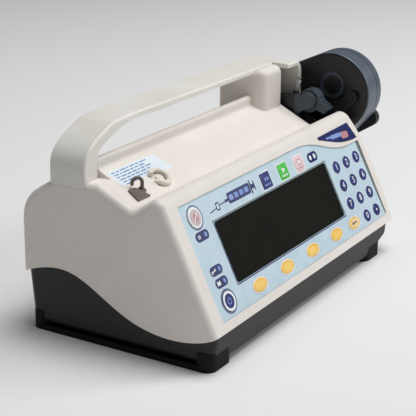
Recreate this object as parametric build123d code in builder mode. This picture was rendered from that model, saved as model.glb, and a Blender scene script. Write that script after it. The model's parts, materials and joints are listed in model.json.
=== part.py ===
from build123d import *
from math import atan, cos, degrees, radians, sin, tan
import os

# Bench-top syringe infusion pump, in millimetres.
# Row frame: X runs along the syringe (positive towards the plunger driver), the keypad faces -Y and
# Z is up.  The origin is the middle of the footprint of the whole object, on the table.
# Sizes are measured from the left end of the case (x), its front lip (y) and the table (z).

# ---------------------------------------------------------------- driving sizes: upper case
case_length = 268.0
case_depth = 148.0
wall = 3.0
face_wall = 6.0
skirt_bottom = 14.0
lip_height = 24.5  # front lower edge of the upper case
face_angle = 63.6  # slope of the keypad face above the horizontal
ridge_height = 109.0
valley_depth = 61.0  # bottom of the syringe channel, back from the front lip
valley_height = 95.7
slope_top_depth = 97.0  # where the channel's rear slope meets the hump
slope_top_height = 113.3
hump_height = 122.7
back_slope = 32.6  # fall of the hump towards the rear, in degrees
back_radius = 25.0
shoulder_length = 16.0  # low seat for the handle at the left end
shoulder_height = 108.3
ridge_radius = 6.5
valley_radius = 5.0
end_radius = 5.0
hump_radius = 2.5
bow = 3.5  # the right end of the face bulges by this much
bow_drop = 10.0  # and draws in by this much at the ridge
lip_drop = 1.5  # and by this much at the front lip
seam_gap = 0.3

# clamp tower at the right end, and the slot that the barrel clamp slides in
tower_start = case_length - 53.0
tower_front = 87.0
tower_back = 127.0
tower_top = 140.5
tower_radius = 8.0
tower_edge = 3.0  # rounding of its upright edge beside the slot
tower_crown = 6.0  # rounding all round its top
slot_start = case_length - 24.0
slot_end = case_length - 6.0
insert_front = 47.0
insert_back = 132.0
insert_bottom = 86.0
cradle_drop = 4.5  # the black cradle insert lies this far below the white slope
slot_front = 78.0
slot_floor = 98.0
slot_back = 106.5
insert_gap = 0.2
leg_front = 82.5
leg_bottom = 112.5

# lower case and its rubber feet
base_inset = 2.2
base_taper = 4.5
base_back_inset, base_back_taper = 0.4, 5.5
base_left, base_right = base_inset, case_length - base_inset
base_right_low = case_length - 13.0  # the right end is narrower below its flared rim
flare_low, flare_high = 12.5, 16.6
base_bottom = 4.0
base_corner = 6.0
foot_length, foot_width, foot_height, foot_radius = 27.0, 14.0, 13.0, 6.5
foot_proud = 0.8
runner_width = 9.0  # low rubber runner between the feet of each side
foot_pocket_length, foot_pocket_width, foot_pocket_depth = 15.0, 5.0, 1.5
boss_radius, boss_height = 5.0, 8.5
bolt_spacing, bolt_middle_x, bolt_middle_y, bolt_radius = 50.0, 132.0, 66.0, 2.0
screw_inset, screw_front, screw_back, screw_size, screw_length = 44.4, 24.0, case_depth - 12.0, 1.5, 12.0

# handle
strap_front = 95.9
strap_width = 27.4
leg_thickness = 14.2
leg_seat = 104.5
arch_start = 114.0
arch_reach = 58.0
strap_height = 142.0
strap_underside = 137.4
strap_round = 1.6
handle_gap = 0.2
outer_corner, inner_corner = 9.0, 4.0
hood_gap = 0.3

# keypad
recess = 0.8
overlay_thickness = 0.8
backplate_thickness = 2.6
ledge = 3.0
panel_gap = 0.2
panel_left, panel_right = 14.3, case_length - 5.5
panel_low, panel_high, panel_shoulder = 6.0, 83.3, 67.6
shoulder_from, shoulder_to = 170.0, 249.0
panel_radius = 2.0
key_gap = 0.2
key_proud = 0.5
key_travel = 0.4
key_height = 2.0
display_left, display_right = 45.9, 203.7
display_low, display_high = 22.5, 64.5
window_thickness, window_drop = 1.2, 0.2
display_thickness = 8.0
board_left, board_right, board_low, board_high, board_thickness = 22.0, 244.0, 9.0, 66.0, 1.6
digit_left, digit_top = 217.2, 56.7
digit_pitch_x, digit_pitch_y = 16.76, 14.42
digit_width, digit_high = 10.2, 9.2
soft_left, soft_up, soft_pitch = 68.1, 14.0, 37.9
soft_width, soft_high = 17.5, 8.6
enter_left = 211.6
command_up = 72.6
round_key = 14.0

# drive train
tube_depth, tube_height = 84.0, 72.0
tube_radius, tube_bore = 8.0, 5.0
rod_inset = 1.0  # release rod clear of the bore it turns in
screw_height, screw_radius = 50.0, 4.0
guide_height, guide_radius = 28.0, 4.0
running = 0.05  # radial clearance of shafts in their bores
gear_module = 1.0
gear_teeth, pinion_teeth = 48, 16
gear_width = 6.0
gear_start = 8.0
tooth_root, tooth_tip = 1.9, 0.7
plate_start, plate_end, plate_thickness = 17.0, case_length - 26.0, 4.0
frame_floor, floor_thickness = 13.0, 3.0
frame_front, frame_back = 66.0, 136.0
frame_top = 84.0
carriage_start, carriage_length = 34.0, 30.0
carriage_half_width = 12.0
carriage_bottom, carriage_top = 20.0, 83.0
nut_length, nut_half_width, nut_depth, nut_travel = 14.0, 8.0, 11.0, 3.0
motor_radius, motor_length = 17.5, 34.0
bearing_radius = 8.0
motor_shaft = 2.5
nut_gap = 0.3
seal_radius = tube_radius + 3.0
crank_width, crank_reach = 3.0, 13.0

# plunger driver
head_gap = 8.4  # case end to driver face, driver fully home
head_front_length, head_back_length = 16.0, 10.0
head_seam = 0.2
head_wall = 3.0
head_round, cover_round = 1.8, 3.0
axis_depth, axis_height = 60.5, 116.0  # axis of a loaded syringe
top_lobe_height = 115.0
top_lobe, rear_lobe, low_lobe = 31.5, 27.0, 20.0
rear_lobe_depth, rear_lobe_height = 95.0, 104.0
lever_thickness, lever_gap = 7.2, 2.0
lever_tip_depth, lever_tip_height, lever_tip_radius, lever_hub = 40.5, 91.5, 7.0, 14.0
tube_in_head = 9.0
button_radius, button_proud, button_travel, button_depth, button_rise = 7.0, 2.5, 1.2, 5.0, 5.0
button_recess_radius, button_recess_depth = 10.5, 1.8
flipper_spread, flipper_height = 18.0, 114.0
flipper_hub, flipper_reach, flipper_thickness, flipper_pin, flipper_gap = 5.0, 17.0, 4.0, 2.5, 0.4
flipper_claw = 2.4

# barrel clamp
clamp_left, clamp_right = slot_start + 3.0, slot_end - 1.0
hub_depth, hub_height = 67.5, 112.8
hub_small, hub_large = 7.2, 9.0
arm_right = clamp_left + 9.0
arm_low, arm_high = 100.0, 112.5
post_x, post_depth, post_radius = clamp_left + 5.0, 100.0, 4.0
post_bottom = 40.0
collar_radius, collar_height = 7.0, 3.0
spring_wire, spring_radius, spring_turns = 0.8, 5.6, 7
clip_start, clip_thickness = slot_end - 4.0, 1.6
clip_inner, clip_outer, clip_high_angle, clip_low_angle = 19.5, 24.0, 30.0, -125.0

hub_step = 4.0
tab_depth, tab_height = 52.0, 104.5
ear_height, ear_radius, ear_gap, ear_length, ear_travel = 93.5, 2.0, 2.2, 4.0, 1.2

# small fittings on the channel's rear slope
hook_x, hook_depth = 28.3, 71.3
clip_x, clip_depth = 51.0, 74.0
hook_wire, hook_rise, hook_curl = 1.2, 5.0, 3.4
seat_gap = 0.02
pigtail_radius, pigtail_wire = 6.5, 1.7

# electrics inside the lower case
battery_length, battery_width, battery_height, battery_middle, battery_depth = 104.0, 36.0, 34.0, 168.0, 117.0
inlet_x, inlet_height, inlet_width, inlet_high, inlet_length = 86.0, 66.0, 27.0, 19.5, 20.0
inlet_flange, inlet_plate, inlet_gap, blade_depth = 3.0, 1.5, 0.1, 8.0

# how far the cutting tools run past what they cut
short_cut, deep_cut, long_cut = 10.0, 20.0, 60.0

# ---------------------------------------------------------------- derived sizes and planes
head_start = case_length + head_gap
head_split = head_start + head_front_length
head_end = head_split + head_back_length
lever_start = head_end + lever_gap
overall_length = lever_start + lever_thickness
LEFT = -overall_length / 2
FRONT = -case_depth / 2
face_cos, face_sin = cos(radians(face_angle)), sin(radians(face_angle))
ridge_depth = (ridge_height - lip_height) * face_cos / face_sin
front_slope = (ridge_height - valley_height) / (valley_depth - ridge_depth)
rear_slope = (slope_top_height - valley_height) / (slope_top_depth - valley_depth)
slope_degrees = degrees(atan(rear_slope))
back_fall = tan(radians(back_slope))
back_corner = hump_height - (case_depth - slope_top_depth) * back_fall
shoulder_front = valley_depth + (shoulder_height - valley_height) / rear_slope
shoulder_back = slope_top_depth + (hump_height - shoulder_height) / back_fall
panel_depth = recess + overlay_thickness + backplate_thickness
key_bottom = recess - key_proud + key_height
gear_distance = gear_module * (gear_teeth + pinion_teeth) / 2
motor_depth = tube_depth + gear_distance
strap_back = strap_front + strap_width


def station(x):
    """End-on plane at x; sketches on it use (back from the front lip, height)."""
    return Plane(origin=(LEFT + x, FRONT, 0), x_dir=(0, 1, 0), z_dir=(1, 0, 0))


def upright(y):
    """Plane facing the front at depth y; sketches use (along, height) and extrude towards the front."""
    return Plane(origin=(LEFT, FRONT + y, 0), x_dir=(1, 0, 0), z_dir=(0, -1, 0))


def level(z):
    """Plan view at height z; sketches use (along, back)."""
    return Plane(origin=(LEFT, FRONT, z), x_dir=(1, 0, 0), z_dir=(0, 0, 1))


def face(inwards):
    """Plane parallel to the keypad face; sketches use (along, up the slope) and extrude outwards."""
    origin = (LEFT, FRONT + face_sin * inwards, lip_height - face_cos * inwards)
    return Plane(origin=origin, x_dir=(1, 0, 0), z_dir=(0, -face_sin, face_cos))


def near(shapes, x, y):
    """The vertex of a sketch nearest to a point."""
    return shapes.sort_by_distance((x, y, 0))[0]


def slope_height(y):
    """Height of the syringe channel's surface at depth y."""
    if y > valley_depth:
        return valley_height + (y - valley_depth) * rear_slope
    return valley_height + (valley_depth - y) * front_slope


def save(piece, label):
    """Labels a finished piece and writes it as its node."""
    piece.part.label = label
    export_step(piece.part, f"parts/{label}.step")


os.makedirs("parts", exist_ok=True)

# ---------------------------------------------------------------- outlines of the upper case
wave = [(-6, 28.0), (14, 19.6), (37, 17.6), (61, 22.6), (86, 35.6), (112, 46.8), (130, 45.6), (156, 34.0)]


def below_wave(lift):
    """Everything below the wavy parting line, raised by lift."""
    with BuildPart() as under:
        with BuildSketch(station(-deep_cut)):
            with BuildLine():
                line = Spline(*[(y, z + lift) for y, z in wave])
                Polyline(line @ 1, (wave[-1][0], -deep_cut), (wave[0][0], -deep_cut), line @ 0)
            make_face()
        extrude(amount=case_length + long_cut)
    return under.part


def low_profile(inset):
    """Side view of the case without its hump."""
    with BuildSketch(Plane.XY) as profile:
        Polygon(
            (0, skirt_bottom),
            (0, lip_height),
            (ridge_depth, ridge_height),
            (valley_depth, valley_height),
            (shoulder_front, shoulder_height),
            (shoulder_back, shoulder_height),
            (case_depth, back_corner),
            (case_depth, skirt_bottom),
            align=None,
        )
        fillet(near(profile.vertices(), ridge_depth, ridge_height), ridge_radius)
        fillet(near(profile.vertices(), valley_depth, valley_height), valley_radius)
        fillet(near(profile.vertices(), case_depth, back_corner), back_radius)
        if inset:
            offset(amount=-inset, kind=Kind.INTERSECTION)
    return profile.sketch


def hump_profile(inset):
    """Side view of the raised rear part, which carries the deck wall behind the channel."""
    foot = valley_depth + 12
    with BuildSketch(Plane.XY) as profile:
        Polygon(
            (foot, slope_height(foot)),
            (slope_top_depth, slope_top_height),
            (slope_top_depth, hump_height),
            (case_depth, back_corner),
            (case_depth, skirt_bottom + wall + 40),
            (foot, skirt_bottom + wall + 40),
            align=None,
        )
        fillet(near(profile.vertices(), slope_top_depth, slope_top_height), hump_radius)
        fillet(near(profile.vertices(), slope_top_depth, hump_height), hump_radius)
        fillet(near(profile.vertices(), case_depth, back_corner), back_radius)
        if inset:
            offset(amount=-inset, kind=Kind.INTERSECTION)
    return profile.sketch


def case_core(inset):
    """Solid inside of the case, its walls taken off by inset; the front wall stays thicker."""
    with BuildPart() as core:
        with BuildSketch(station(inset)):
            add(low_profile(inset))
        extrude(amount=case_length - 2 * inset)
        with BuildSketch(station(shoulder_length + inset)):
            add(hump_profile(inset))
        extrude(amount=case_length - shoulder_length - 2 * inset)
        with BuildSketch(face(face_wall - wall + inset)):
            with Locations((case_length / 2, ridge_height / 2)):
                Rectangle(case_length * 2, ridge_height * 3)
        extrude(amount=face_wall * 4, mode=Mode.SUBTRACT)
        with BuildSketch(level(leg_seat - inset)):
            with Locations((0, case_depth / 2)):
                Rectangle(2 * (shoulder_length + wall), case_depth)
        extrude(amount=ridge_height, mode=Mode.SUBTRACT)
    return core.part


def panel_outline(inset):
    """Keypad panel: straight on three sides, with an S-shaped step down at its upper right."""
    with BuildSketch(Plane.XY) as outline:
        with BuildLine():
            middle = ((shoulder_from + shoulder_to) / 2, (panel_high + panel_shoulder) / 2)
            upper_arc = TangentArc((shoulder_from, panel_high), middle, tangent=(1, 0))
            lower_arc = TangentArc(middle, (shoulder_to, panel_shoulder), tangent=upper_arc % 1)
            Polyline(
                lower_arc @ 1,
                (panel_right, panel_shoulder),
                (panel_right, panel_low),
                (panel_left, panel_low),
                (panel_left, panel_high),
                upper_arc @ 0,
            )
        make_face()
        corners = outline.vertices().filter_by(
            lambda v: min(abs(v.X - panel_left), abs(v.X - panel_right)) < 0.01
        )
        fillet(corners, panel_radius)
        if inset:
            offset(amount=-inset)
    return outline.sketch


# ---------------------------------------------------------------- upper case
with BuildPart() as top_case:
    with BuildSketch(station(0)):
        add(low_profile(0))
    extrude(amount=case_length + bow)
    end_edges = top_case.faces().sort_by(Axis.X)[0].edges()
    fillet(end_edges.filter_by(lambda e: e.center().Z > lip_height), end_radius)
    with BuildSketch(station(shoulder_length)):
        add(hump_profile(0))
    extrude(amount=case_length - shoulder_length)
    # right end: the face bulges at mid-height and draws in towards the ridge, the rest is flat
    with BuildSketch(upright(insert_front)):
        with BuildLine():
            bulge = Spline(
                (case_length - lip_drop - 1, 0),
                (case_length - lip_drop, lip_height - 2),
                (case_length + bow, (lip_height + insert_bottom) / 2),
                (case_length + bow / 8, insert_bottom),
                (case_length - bow_drop, ridge_height),
            )
            Polyline(bulge @ 1, (case_length + 30, ridge_height + 10), (case_length + 30, 0), bulge @ 0)
        make_face()
    extrude(amount=insert_front + 5, mode=Mode.SUBTRACT)
    with BuildSketch(level(0)):
        Polygon(
            (case_length + bow, 0),
            (case_length, insert_front),
            (case_length, case_depth + short_cut),
            (case_length + deep_cut, case_depth + short_cut),
            (case_length + deep_cut, 0),
            align=None,
        )
    extrude(amount=ridge_height + deep_cut, mode=Mode.SUBTRACT)
    # tower beside the clamp slot
    with BuildSketch(level(valley_height)) as tower_plan:
        with Locations(((tower_start + slot_start) / 2, (tower_front + tower_back) / 2)):
            Rectangle(slot_start - tower_start, tower_back - tower_front)
        fillet(near(tower_plan.vertices(), tower_start, tower_front), tower_radius)
        fillet(near(tower_plan.vertices(), tower_start, tower_back), tower_radius / 2)
        fillet(near(tower_plan.vertices(), slot_start, tower_front), tower_edge)
    extrude(amount=tower_top - valley_height)
    fillet(top_case.faces().sort_by(Axis.Z)[-1].edges(), tower_crown)
    # room inside
    add(case_core(wall), mode=Mode.SUBTRACT)
    with BuildSketch(level(valley_height - deep_cut)):
        with Locations(((tower_start + slot_start) / 2, (slope_top_depth + tower_back) / 2)):
            Rectangle(slot_start - tower_start - 2 * wall, tower_back - slope_top_depth - 2 * wall)
    extrude(amount=strap_underside - wall - valley_height + deep_cut, mode=Mode.SUBTRACT)
    add(below_wave(0), mode=Mode.SUBTRACT)
    # seat for the strap on the tower, for the handle's left leg and for the cradle insert
    with BuildSketch(level(strap_underside)):
        with Locations((slot_start, (strap_front - handle_gap + case_depth) / 2)):
            Rectangle(2 * (slot_start - tower_start) + 10, case_depth - strap_front + handle_gap)
    extrude(amount=deep_cut, mode=Mode.SUBTRACT)
    with BuildSketch(level(leg_seat)):
        with Locations((0, strap_front + strap_width / 2)):
            Rectangle(2 * (leg_thickness + handle_gap), strap_width + 2 * handle_gap)
    extrude(amount=40, mode=Mode.SUBTRACT)
    with BuildSketch(level(insert_bottom)):
        with Locations((slot_start + 50, (insert_front + insert_back) / 2)):
            Rectangle(100, insert_back - insert_front)
    extrude(amount=80, mode=Mode.SUBTRACT)
    # pocket and opening for the keypad, on a ledge
    with BuildSketch(face(panel_depth)):
        add(panel_outline(0))
    extrude(amount=deep_cut, mode=Mode.SUBTRACT)
    with BuildSketch(face(face_wall + 5)):
        add(panel_outline(ledge))
    extrude(amount=deep_cut, mode=Mode.SUBTRACT)
    # recess and hole for the power inlet
    with BuildSketch(upright(case_depth)):
        with Locations((inlet_x, inlet_height)):
            grow = 2 * (inlet_flange + inlet_gap)
            RectangleRounded(inlet_width + grow, inlet_high + grow, 3)
    extrude(amount=inlet_plate, mode=Mode.SUBTRACT)
    with BuildSketch(upright(case_depth)):
        with Locations((inlet_x, inlet_height)):
            RectangleRounded(inlet_width + 2 * inlet_gap, inlet_high + 2 * inlet_gap, 1.5)
    extrude(amount=2 * wall, mode=Mode.SUBTRACT)
    # hole for the drive tube's seal
    with BuildSketch(station(case_length - 2 * wall)):
        with Locations((tube_depth, tube_height)):
            Circle(seal_radius)
    extrude(amount=deep_cut, mode=Mode.SUBTRACT)
save(top_case, "top_case")

# ---------------------------------------------------------------- lower case and feet
foot_front = base_taper - foot_proud + foot_width / 2
foot_back = case_depth - base_back_taper + foot_proud - foot_width / 2
runner_places = [
    (x, (foot_front + foot_back) / 2)
    for x in (base_left - foot_proud + runner_width / 2, base_right_low + foot_proud - runner_width / 2)
]
foot_places = [
    (x, y)
    for x in (base_left - foot_proud + foot_length / 2, base_right_low + foot_proud - foot_length / 2)
    for y in (foot_front, foot_back)
]
bolt_places = [
    (bolt_middle_x + i * bolt_spacing / 2, bolt_middle_y + j * bolt_spacing / 2)
    for i in (-1, 1)
    for j in (-1, 1)
]
screw_places = [(x, y) for x in (screw_inset, case_length - screw_inset) for y in (screw_front, screw_back)]

with BuildPart() as foot_blocks:
    with BuildSketch(level(0)):
        with Locations(*foot_places):
            RectangleRounded(foot_length, foot_width, foot_radius)
    extrude(amount=foot_height)
    with BuildSketch(level(0)):
        with Locations(*runner_places):
            Rectangle(runner_width, foot_back - foot_front)
    extrude(amount=base_bottom)


def under_flare(lift):
    """Space beside and below the flared rim at the right end; lift draws it inwards and upwards."""
    with BuildSketch(Plane.XY) as space:
        Polygon(
            (base_right_low - lift, -1),
            (base_right_low - lift, flare_low + lift),
            (base_right, flare_high + lift),
            (base_right + short_cut, flare_high + lift),
            (base_right + short_cut, -1),
            align=None,
        )
    return space.sketch


with BuildPart() as base_room:
    with BuildSketch(station(base_left + wall)):
        Polygon(
            (base_taper + wall, base_bottom + wall),
            (base_inset + wall, lip_height + long_cut),
            (case_depth - base_back_inset - wall, lip_height + long_cut),
            (case_depth - base_back_taper - wall, base_bottom + wall),
            align=None,
        )
    extrude(amount=base_right - base_left - 2 * wall)
    with BuildSketch(upright(case_depth)):
        add(under_flare(wall))
    extrude(amount=case_depth, mode=Mode.SUBTRACT)

with BuildPart() as base_case:
    with BuildSketch(station(base_left)) as base_side:
        Polygon(
            (base_taper, base_bottom),
            (base_inset, lip_height),
            (base_inset, lip_height + 30),
            (case_depth - base_back_inset, lip_height + 30),
            (case_depth - base_back_taper, base_bottom),
            align=None,
        )
        fillet(near(base_side.vertices(), base_taper, base_bottom), 2)
        fillet(near(base_side.vertices(), case_depth - base_back_taper, base_bottom), 2)
    extrude(amount=base_right - base_left)
    fillet(base_case.edges().filter_by(lambda e: abs(e.tangent_at(0.5).Z) > 0.9), base_corner)
    with BuildSketch(upright(case_depth + 5)):
        add(under_flare(0))
    extrude(amount=case_depth + short_cut, mode=Mode.SUBTRACT)
    low_corners = base_case.edges().filter_by(
        lambda e: abs(e.tangent_at(0.5).Z) > 0.9 and abs(e.center().X - LEFT - base_right_low) < 0.1
    )
    fillet(low_corners, base_corner)
    add(base_room.part, mode=Mode.SUBTRACT)
    add(below_wave(-seam_gap), mode=Mode.INTERSECT)
    with BuildSketch(level(base_bottom)):
        with Locations(*bolt_places):
            Circle(boss_radius)
        with Locations(*screw_places):
            Circle(boss_radius)
    extrude(amount=boss_height)
    with BuildSketch(level(base_bottom)):
        with Locations(*bolt_places):
            Circle(bolt_radius)
    extrude(amount=boss_height - 2, mode=Mode.SUBTRACT)
    with BuildSketch(level(0)):
        with Locations(*screw_places):
            Circle(screw_size)
    extrude(amount=50, mode=Mode.SUBTRACT)
    add(foot_blocks.part, mode=Mode.SUBTRACT)
save(base_case, "base_case")

with BuildPart() as feet:
    add(foot_blocks.part)
    with BuildSketch(level(0)):
        with Locations(*foot_places):
            SlotOverall(foot_pocket_length, foot_pocket_width)
    extrude(amount=foot_pocket_depth, mode=Mode.SUBTRACT)
save(feet, "rubber_feet")

with BuildPart() as case_screws:
    for x, y in screw_places:
        with BuildSketch(level(base_bottom + 1)):
            with Locations((x, y)):
                Circle(screw_size)
        extrude(amount=screw_length)
    for x, y in screw_places:
        with BuildSketch(level(base_bottom + 0.4)):
            with Locations((x, y)):
                Circle(screw_size)
                RegularPolygon(screw_size * 0.5, 6, mode=Mode.SUBTRACT)
        extrude(amount=0.6)
save(case_screws, "case_screws")

# ---------------------------------------------------------------- handle, one moulding
def outer_edge(edge):
    """True for the long outer edges of the strap, at its front and back."""
    middle = edge.position_at(0.5)
    outside = middle.X < LEFT + leg_thickness * 0.8 or middle.X > LEFT + case_length - 0.1
    return (outside or middle.Z > strap_underside + 0.5) and abs(edge.tangent_at(0.5).Y) < 0.1


with BuildPart() as handle:
    reach = case_length
    with BuildSketch(upright(strap_back)) as side:
        with BuildLine():
            rise = Spline(
                (0, arch_start),
                (arch_reach * 0.13, arch_start + (strap_height - arch_start) * 0.54),
                (arch_reach * 0.45, arch_start + (strap_height - arch_start) * 0.86),
                (arch_reach, strap_height),
                tangents=((0, 1), (1, 0.03)),
            )
            top = Polyline(rise @ 1, (reach, tower_top), (reach, leg_bottom), (slot_end, leg_bottom))
            roof = Polyline(
                top @ 1, (slot_end, strap_underside), (arch_reach * 1.5, strap_underside)
            )
            inner = Spline(
                roof @ 1,
                (arch_reach * 0.83, strap_underside - 0.3),
                (arch_reach * 0.4, strap_underside - 7.8),
                (leg_thickness, arch_start + 5.5),
                tangents=((-1, 0), (0, -1)),
            )
            Polyline(inner @ 1, (leg_thickness, leg_seat), (0, leg_seat), rise @ 0)
        make_face()
        fillet(near(side.vertices(), reach, tower_top), outer_corner)
        fillet(near(side.vertices(), slot_end, strap_underside), inner_corner)
    extrude(amount=strap_width)
    fillet(handle.edges().filter_by(outer_edge), strap_round)
    # the right leg and its roof reach further forward
    with BuildSketch(upright(strap_front + 4)) as hood:
        with BuildLine():
            Polyline(
                (slot_start + hood_gap, strap_underside),
                (slot_start + hood_gap, tower_top + 0.3),
                (reach, tower_top),
                (reach, leg_bottom),
                (slot_end, leg_bottom),
                (slot_end, strap_underside),
                close=True,
            )
        make_face()
        fillet(near(hood.vertices(), reach, tower_top), outer_corner)
        fillet(near(hood.vertices(), slot_end, strap_underside), inner_corner)
    extrude(amount=strap_front + 4 - leg_front)
    nose = handle.faces().sort_by(Axis.Y)[0]
    fillet(nose.edges().filter_by(outer_edge), strap_round)
save(handle, "carry_handle")

# ---------------------------------------------------------------- syringe cradle and clamp
clip_arc = (clip_low_angle, clip_high_angle - clip_low_angle)

with BuildPart() as flange_clip:
    with BuildSketch(station(clip_start)):
        with BuildLine():
            outside = CenterArc((axis_depth, axis_height), clip_outer, *clip_arc)
            inside = CenterArc((axis_depth, axis_height), clip_inner, *clip_arc)
            Line(outside @ 0, inside @ 0)
            Line(outside @ 1, inside @ 1)
        make_face()
    extrude(amount=clip_thickness)
save(flange_clip, "flange_clip")

with BuildPart() as ear_button:
    with BuildSketch(station(clip_start + clip_thickness + ear_gap)):
        with Locations((axis_depth, ear_height)):
            Circle(ear_radius)
    extrude(amount=ear_length)
save(ear_button, "ear_sensor_button")

with BuildPart() as cradle_insert:
    # cradle channel, then the slot floor behind it
    with BuildSketch(station(slot_start + insert_gap)) as channel:
        Polygon(
            (insert_front + insert_gap, insert_bottom),
            (insert_front + insert_gap, slope_height(insert_front) - cradle_drop),
            (valley_depth, valley_height - cradle_drop),
            (slot_front, slot_floor),
            (slot_back, slot_floor),
            (slot_back, strap_underside - inner_corner - insert_gap),
            (insert_back - 8, strap_underside - inner_corner - insert_gap),
            (insert_back - insert_gap, tower_top - 25),
            (insert_back - insert_gap, insert_bottom),
            align=None,
        )
        fillet(near(channel.vertices(), valley_depth, valley_height - cradle_drop), valley_radius + 8)
    extrude(amount=case_length - slot_start - insert_gap)
    # the clamp slot is as wide as the gap between tower and leg; the leg stands on the block beside it
    with BuildSketch(station(slot_end)):
        Polygon(
            (slot_front + 1, leg_bottom),
            (slot_front + 1, leg_bottom + 80),
            (insert_back + deep_cut, leg_bottom + 80),
            (insert_back + deep_cut, leg_bottom),
            align=None,
        )
    extrude(amount=deep_cut, mode=Mode.SUBTRACT)
    with BuildSketch(station(slot_end)):
        Polygon(
            (slot_front, slot_floor - 4),
            (leg_front - 1, leg_bottom),
            (slot_back + 2, leg_bottom),
            (slot_back + 2, slot_floor - 4),
            align=None,
        )
    extrude(amount=case_length - slot_end)
    # recess that the driver and a plunger come through, and the ear button's pocket
    with BuildSketch(station(clip_start + clip_thickness + ear_gap)):
        with Locations((axis_depth, ear_height)):
            Circle(ear_radius + running)
    extrude(amount=ear_length + ear_travel + 0.3, mode=Mode.SUBTRACT)
    with BuildSketch(station(clip_start + clip_thickness)):
        with Locations((axis_depth, axis_height)):
            Circle(clip_inner + 6.5)
        Polygon(
            (slot_front - 2, slot_floor - 30),
            (slot_front - 2, axis_height + 40),
            (insert_back, axis_height + 40),
            (insert_back, slot_floor - 30),
            align=None,
            mode=Mode.SUBTRACT,
        )
    extrude(amount=ear_gap, mode=Mode.SUBTRACT)
    add(flange_clip.part, mode=Mode.SUBTRACT)
    with BuildSketch(level(insert_bottom)):
        with Locations((post_x, post_depth)):
            Circle(post_radius + running)
    extrude(amount=slot_floor, mode=Mode.SUBTRACT)
save(cradle_insert, "cradle_insert")

with BuildPart() as clamp_arm:
    with BuildSketch(station(clamp_left)):
        with Locations((hub_depth, hub_height)):
            Circle(hub_small)
    extrude(amount=hub_step)
    with BuildSketch(station(clamp_left + hub_step)):
        with Locations((hub_depth, hub_height)):
            Circle(hub_large)
    extrude(amount=clamp_right - clamp_left - hub_step)
    chamfer(clamp_arm.faces().sort_by(Axis.X)[0].edges(), 1.2)
    with BuildSketch(station(clamp_left)) as arm_side:
        Polygon(
            (hub_depth, hub_height + 5),
            (post_depth + post_radius, arm_high + 1),
            (post_depth + post_radius, arm_low),
            (slot_front, arm_low),
            (hub_depth, hub_height - 5),
            align=None,
        )
        fillet(near(arm_side.vertices(), post_depth + post_radius, arm_high + 1), 3)
    extrude(amount=arm_right - clamp_left)
    # finger tab, with ribs across it
    with BuildSketch(station(clamp_left + 3)) as tab:
        Polygon(
            (hub_depth - 5, hub_height + 5.5),
            (hub_depth - 9.5, hub_height + 1),
            (tab_depth - 1.5, tab_height + 3.5),
            (tab_depth + 1.5, tab_height),
            (hub_depth - 5, hub_height - 5),
            align=None,
        )
    extrude(amount=clamp_right - clamp_left - 3)
    for step in range(4):
        with BuildSketch(station(clamp_left)):
            along = (step + 0.7) / 4
            rib_y = hub_depth - 9.5 + (tab_depth + 8 - hub_depth) * along
            rib_z = hub_height + 1 + (tab_height + 2.5 - hub_height) * along
            with Locations((rib_y, rib_z)):
                Circle(0.7)
        extrude(amount=deep_cut, mode=Mode.SUBTRACT)
    with BuildSketch(level(arm_low - 5)):
        with Locations((post_x, post_depth)):
            Circle(post_radius)
    extrude(amount=short_cut, mode=Mode.SUBTRACT)
save(clamp_arm, "barrel_clamp")

with BuildPart() as clamp_post:
    with BuildSketch(level(post_bottom)):
        with Locations((post_x, post_depth)):
            Circle(collar_radius)
    extrude(amount=collar_height)
    with BuildSketch(level(post_bottom)):
        with Locations((post_x, post_depth)):
            Circle(post_radius)
    extrude(amount=arm_low + 5 - post_bottom)
save(clamp_post, "clamp_post")

with BuildPart() as clamp_spring:
    spring_base = post_bottom + collar_height + spring_wire
    spring_height = insert_bottom - spring_base - spring_wire
    with BuildLine(Plane(origin=(LEFT + post_x, FRONT + post_depth, spring_base))) as coil:
        Helix(spring_height / spring_turns, spring_height, spring_radius)
    with BuildSketch(Plane(coil.line @ 0, z_dir=coil.line % 0)):
        Circle(spring_wire)
    sweep()
save(clamp_spring, "clamp_spring")

# ---------------------------------------------------------------- keypad
digit_places = [
    (digit_left + column * digit_pitch_x, digit_top - row * digit_pitch_y)
    for row in range(4)
    for column in range(3)
]
digit_names = ["1", "2", "3", "4", "5", "6", "7", "8", "9", "enter", "0", "point"]
keys = [
    (f"key_{name}", x, v, digit_width, digit_high)
    for name, (x, v) in zip(digit_names, digit_places)
    if name != "enter"
]
keys += [("key_enter", enter_left, soft_up, soft_width, soft_high)]
keys += [(f"soft_key_{i + 1}", soft_left + i * soft_pitch, soft_up, soft_width, soft_high) for i in range(4)]
keys += [
    ("mute_key", 29.0, command_up, round_key, round_key - 0.2),
    ("power_key", 29.5, 16.2, round_key, round_key - 0.2),
    ("bolus_key", 121.0, command_up, 12.6, 10.8),
    ("start_key", 146.0, command_up, 12.6, 10.8),
    ("stop_key", 169.5, command_up - 0.3, 12.6, 11.4),
]


def key_outline(wide, high, grow):
    """Oval key, centred; grow adds all round."""
    with BuildSketch(Plane.XY) as oval:
        Ellipse(wide / 2 + grow, high / 2 + grow)
    return oval.sketch


with BuildPart() as backplate:
    with BuildSketch(face(panel_depth)):
        add(panel_outline(panel_gap))
        with Locations(((display_left + display_right) / 2, (display_low + display_high) / 2)):
            Rectangle(display_right - display_left, display_high - display_low, mode=Mode.SUBTRACT)
    extrude(amount=backplate_thickness)
    for name, x, v, wide, high in keys:
        with BuildSketch(face(key_bottom + key_travel + key_gap)):
            with Locations((x, v)):
                add(key_outline(wide, high, key_gap))
        extrude(amount=short_cut, mode=Mode.SUBTRACT)
save(backplate, "keypad_backplate")

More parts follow.
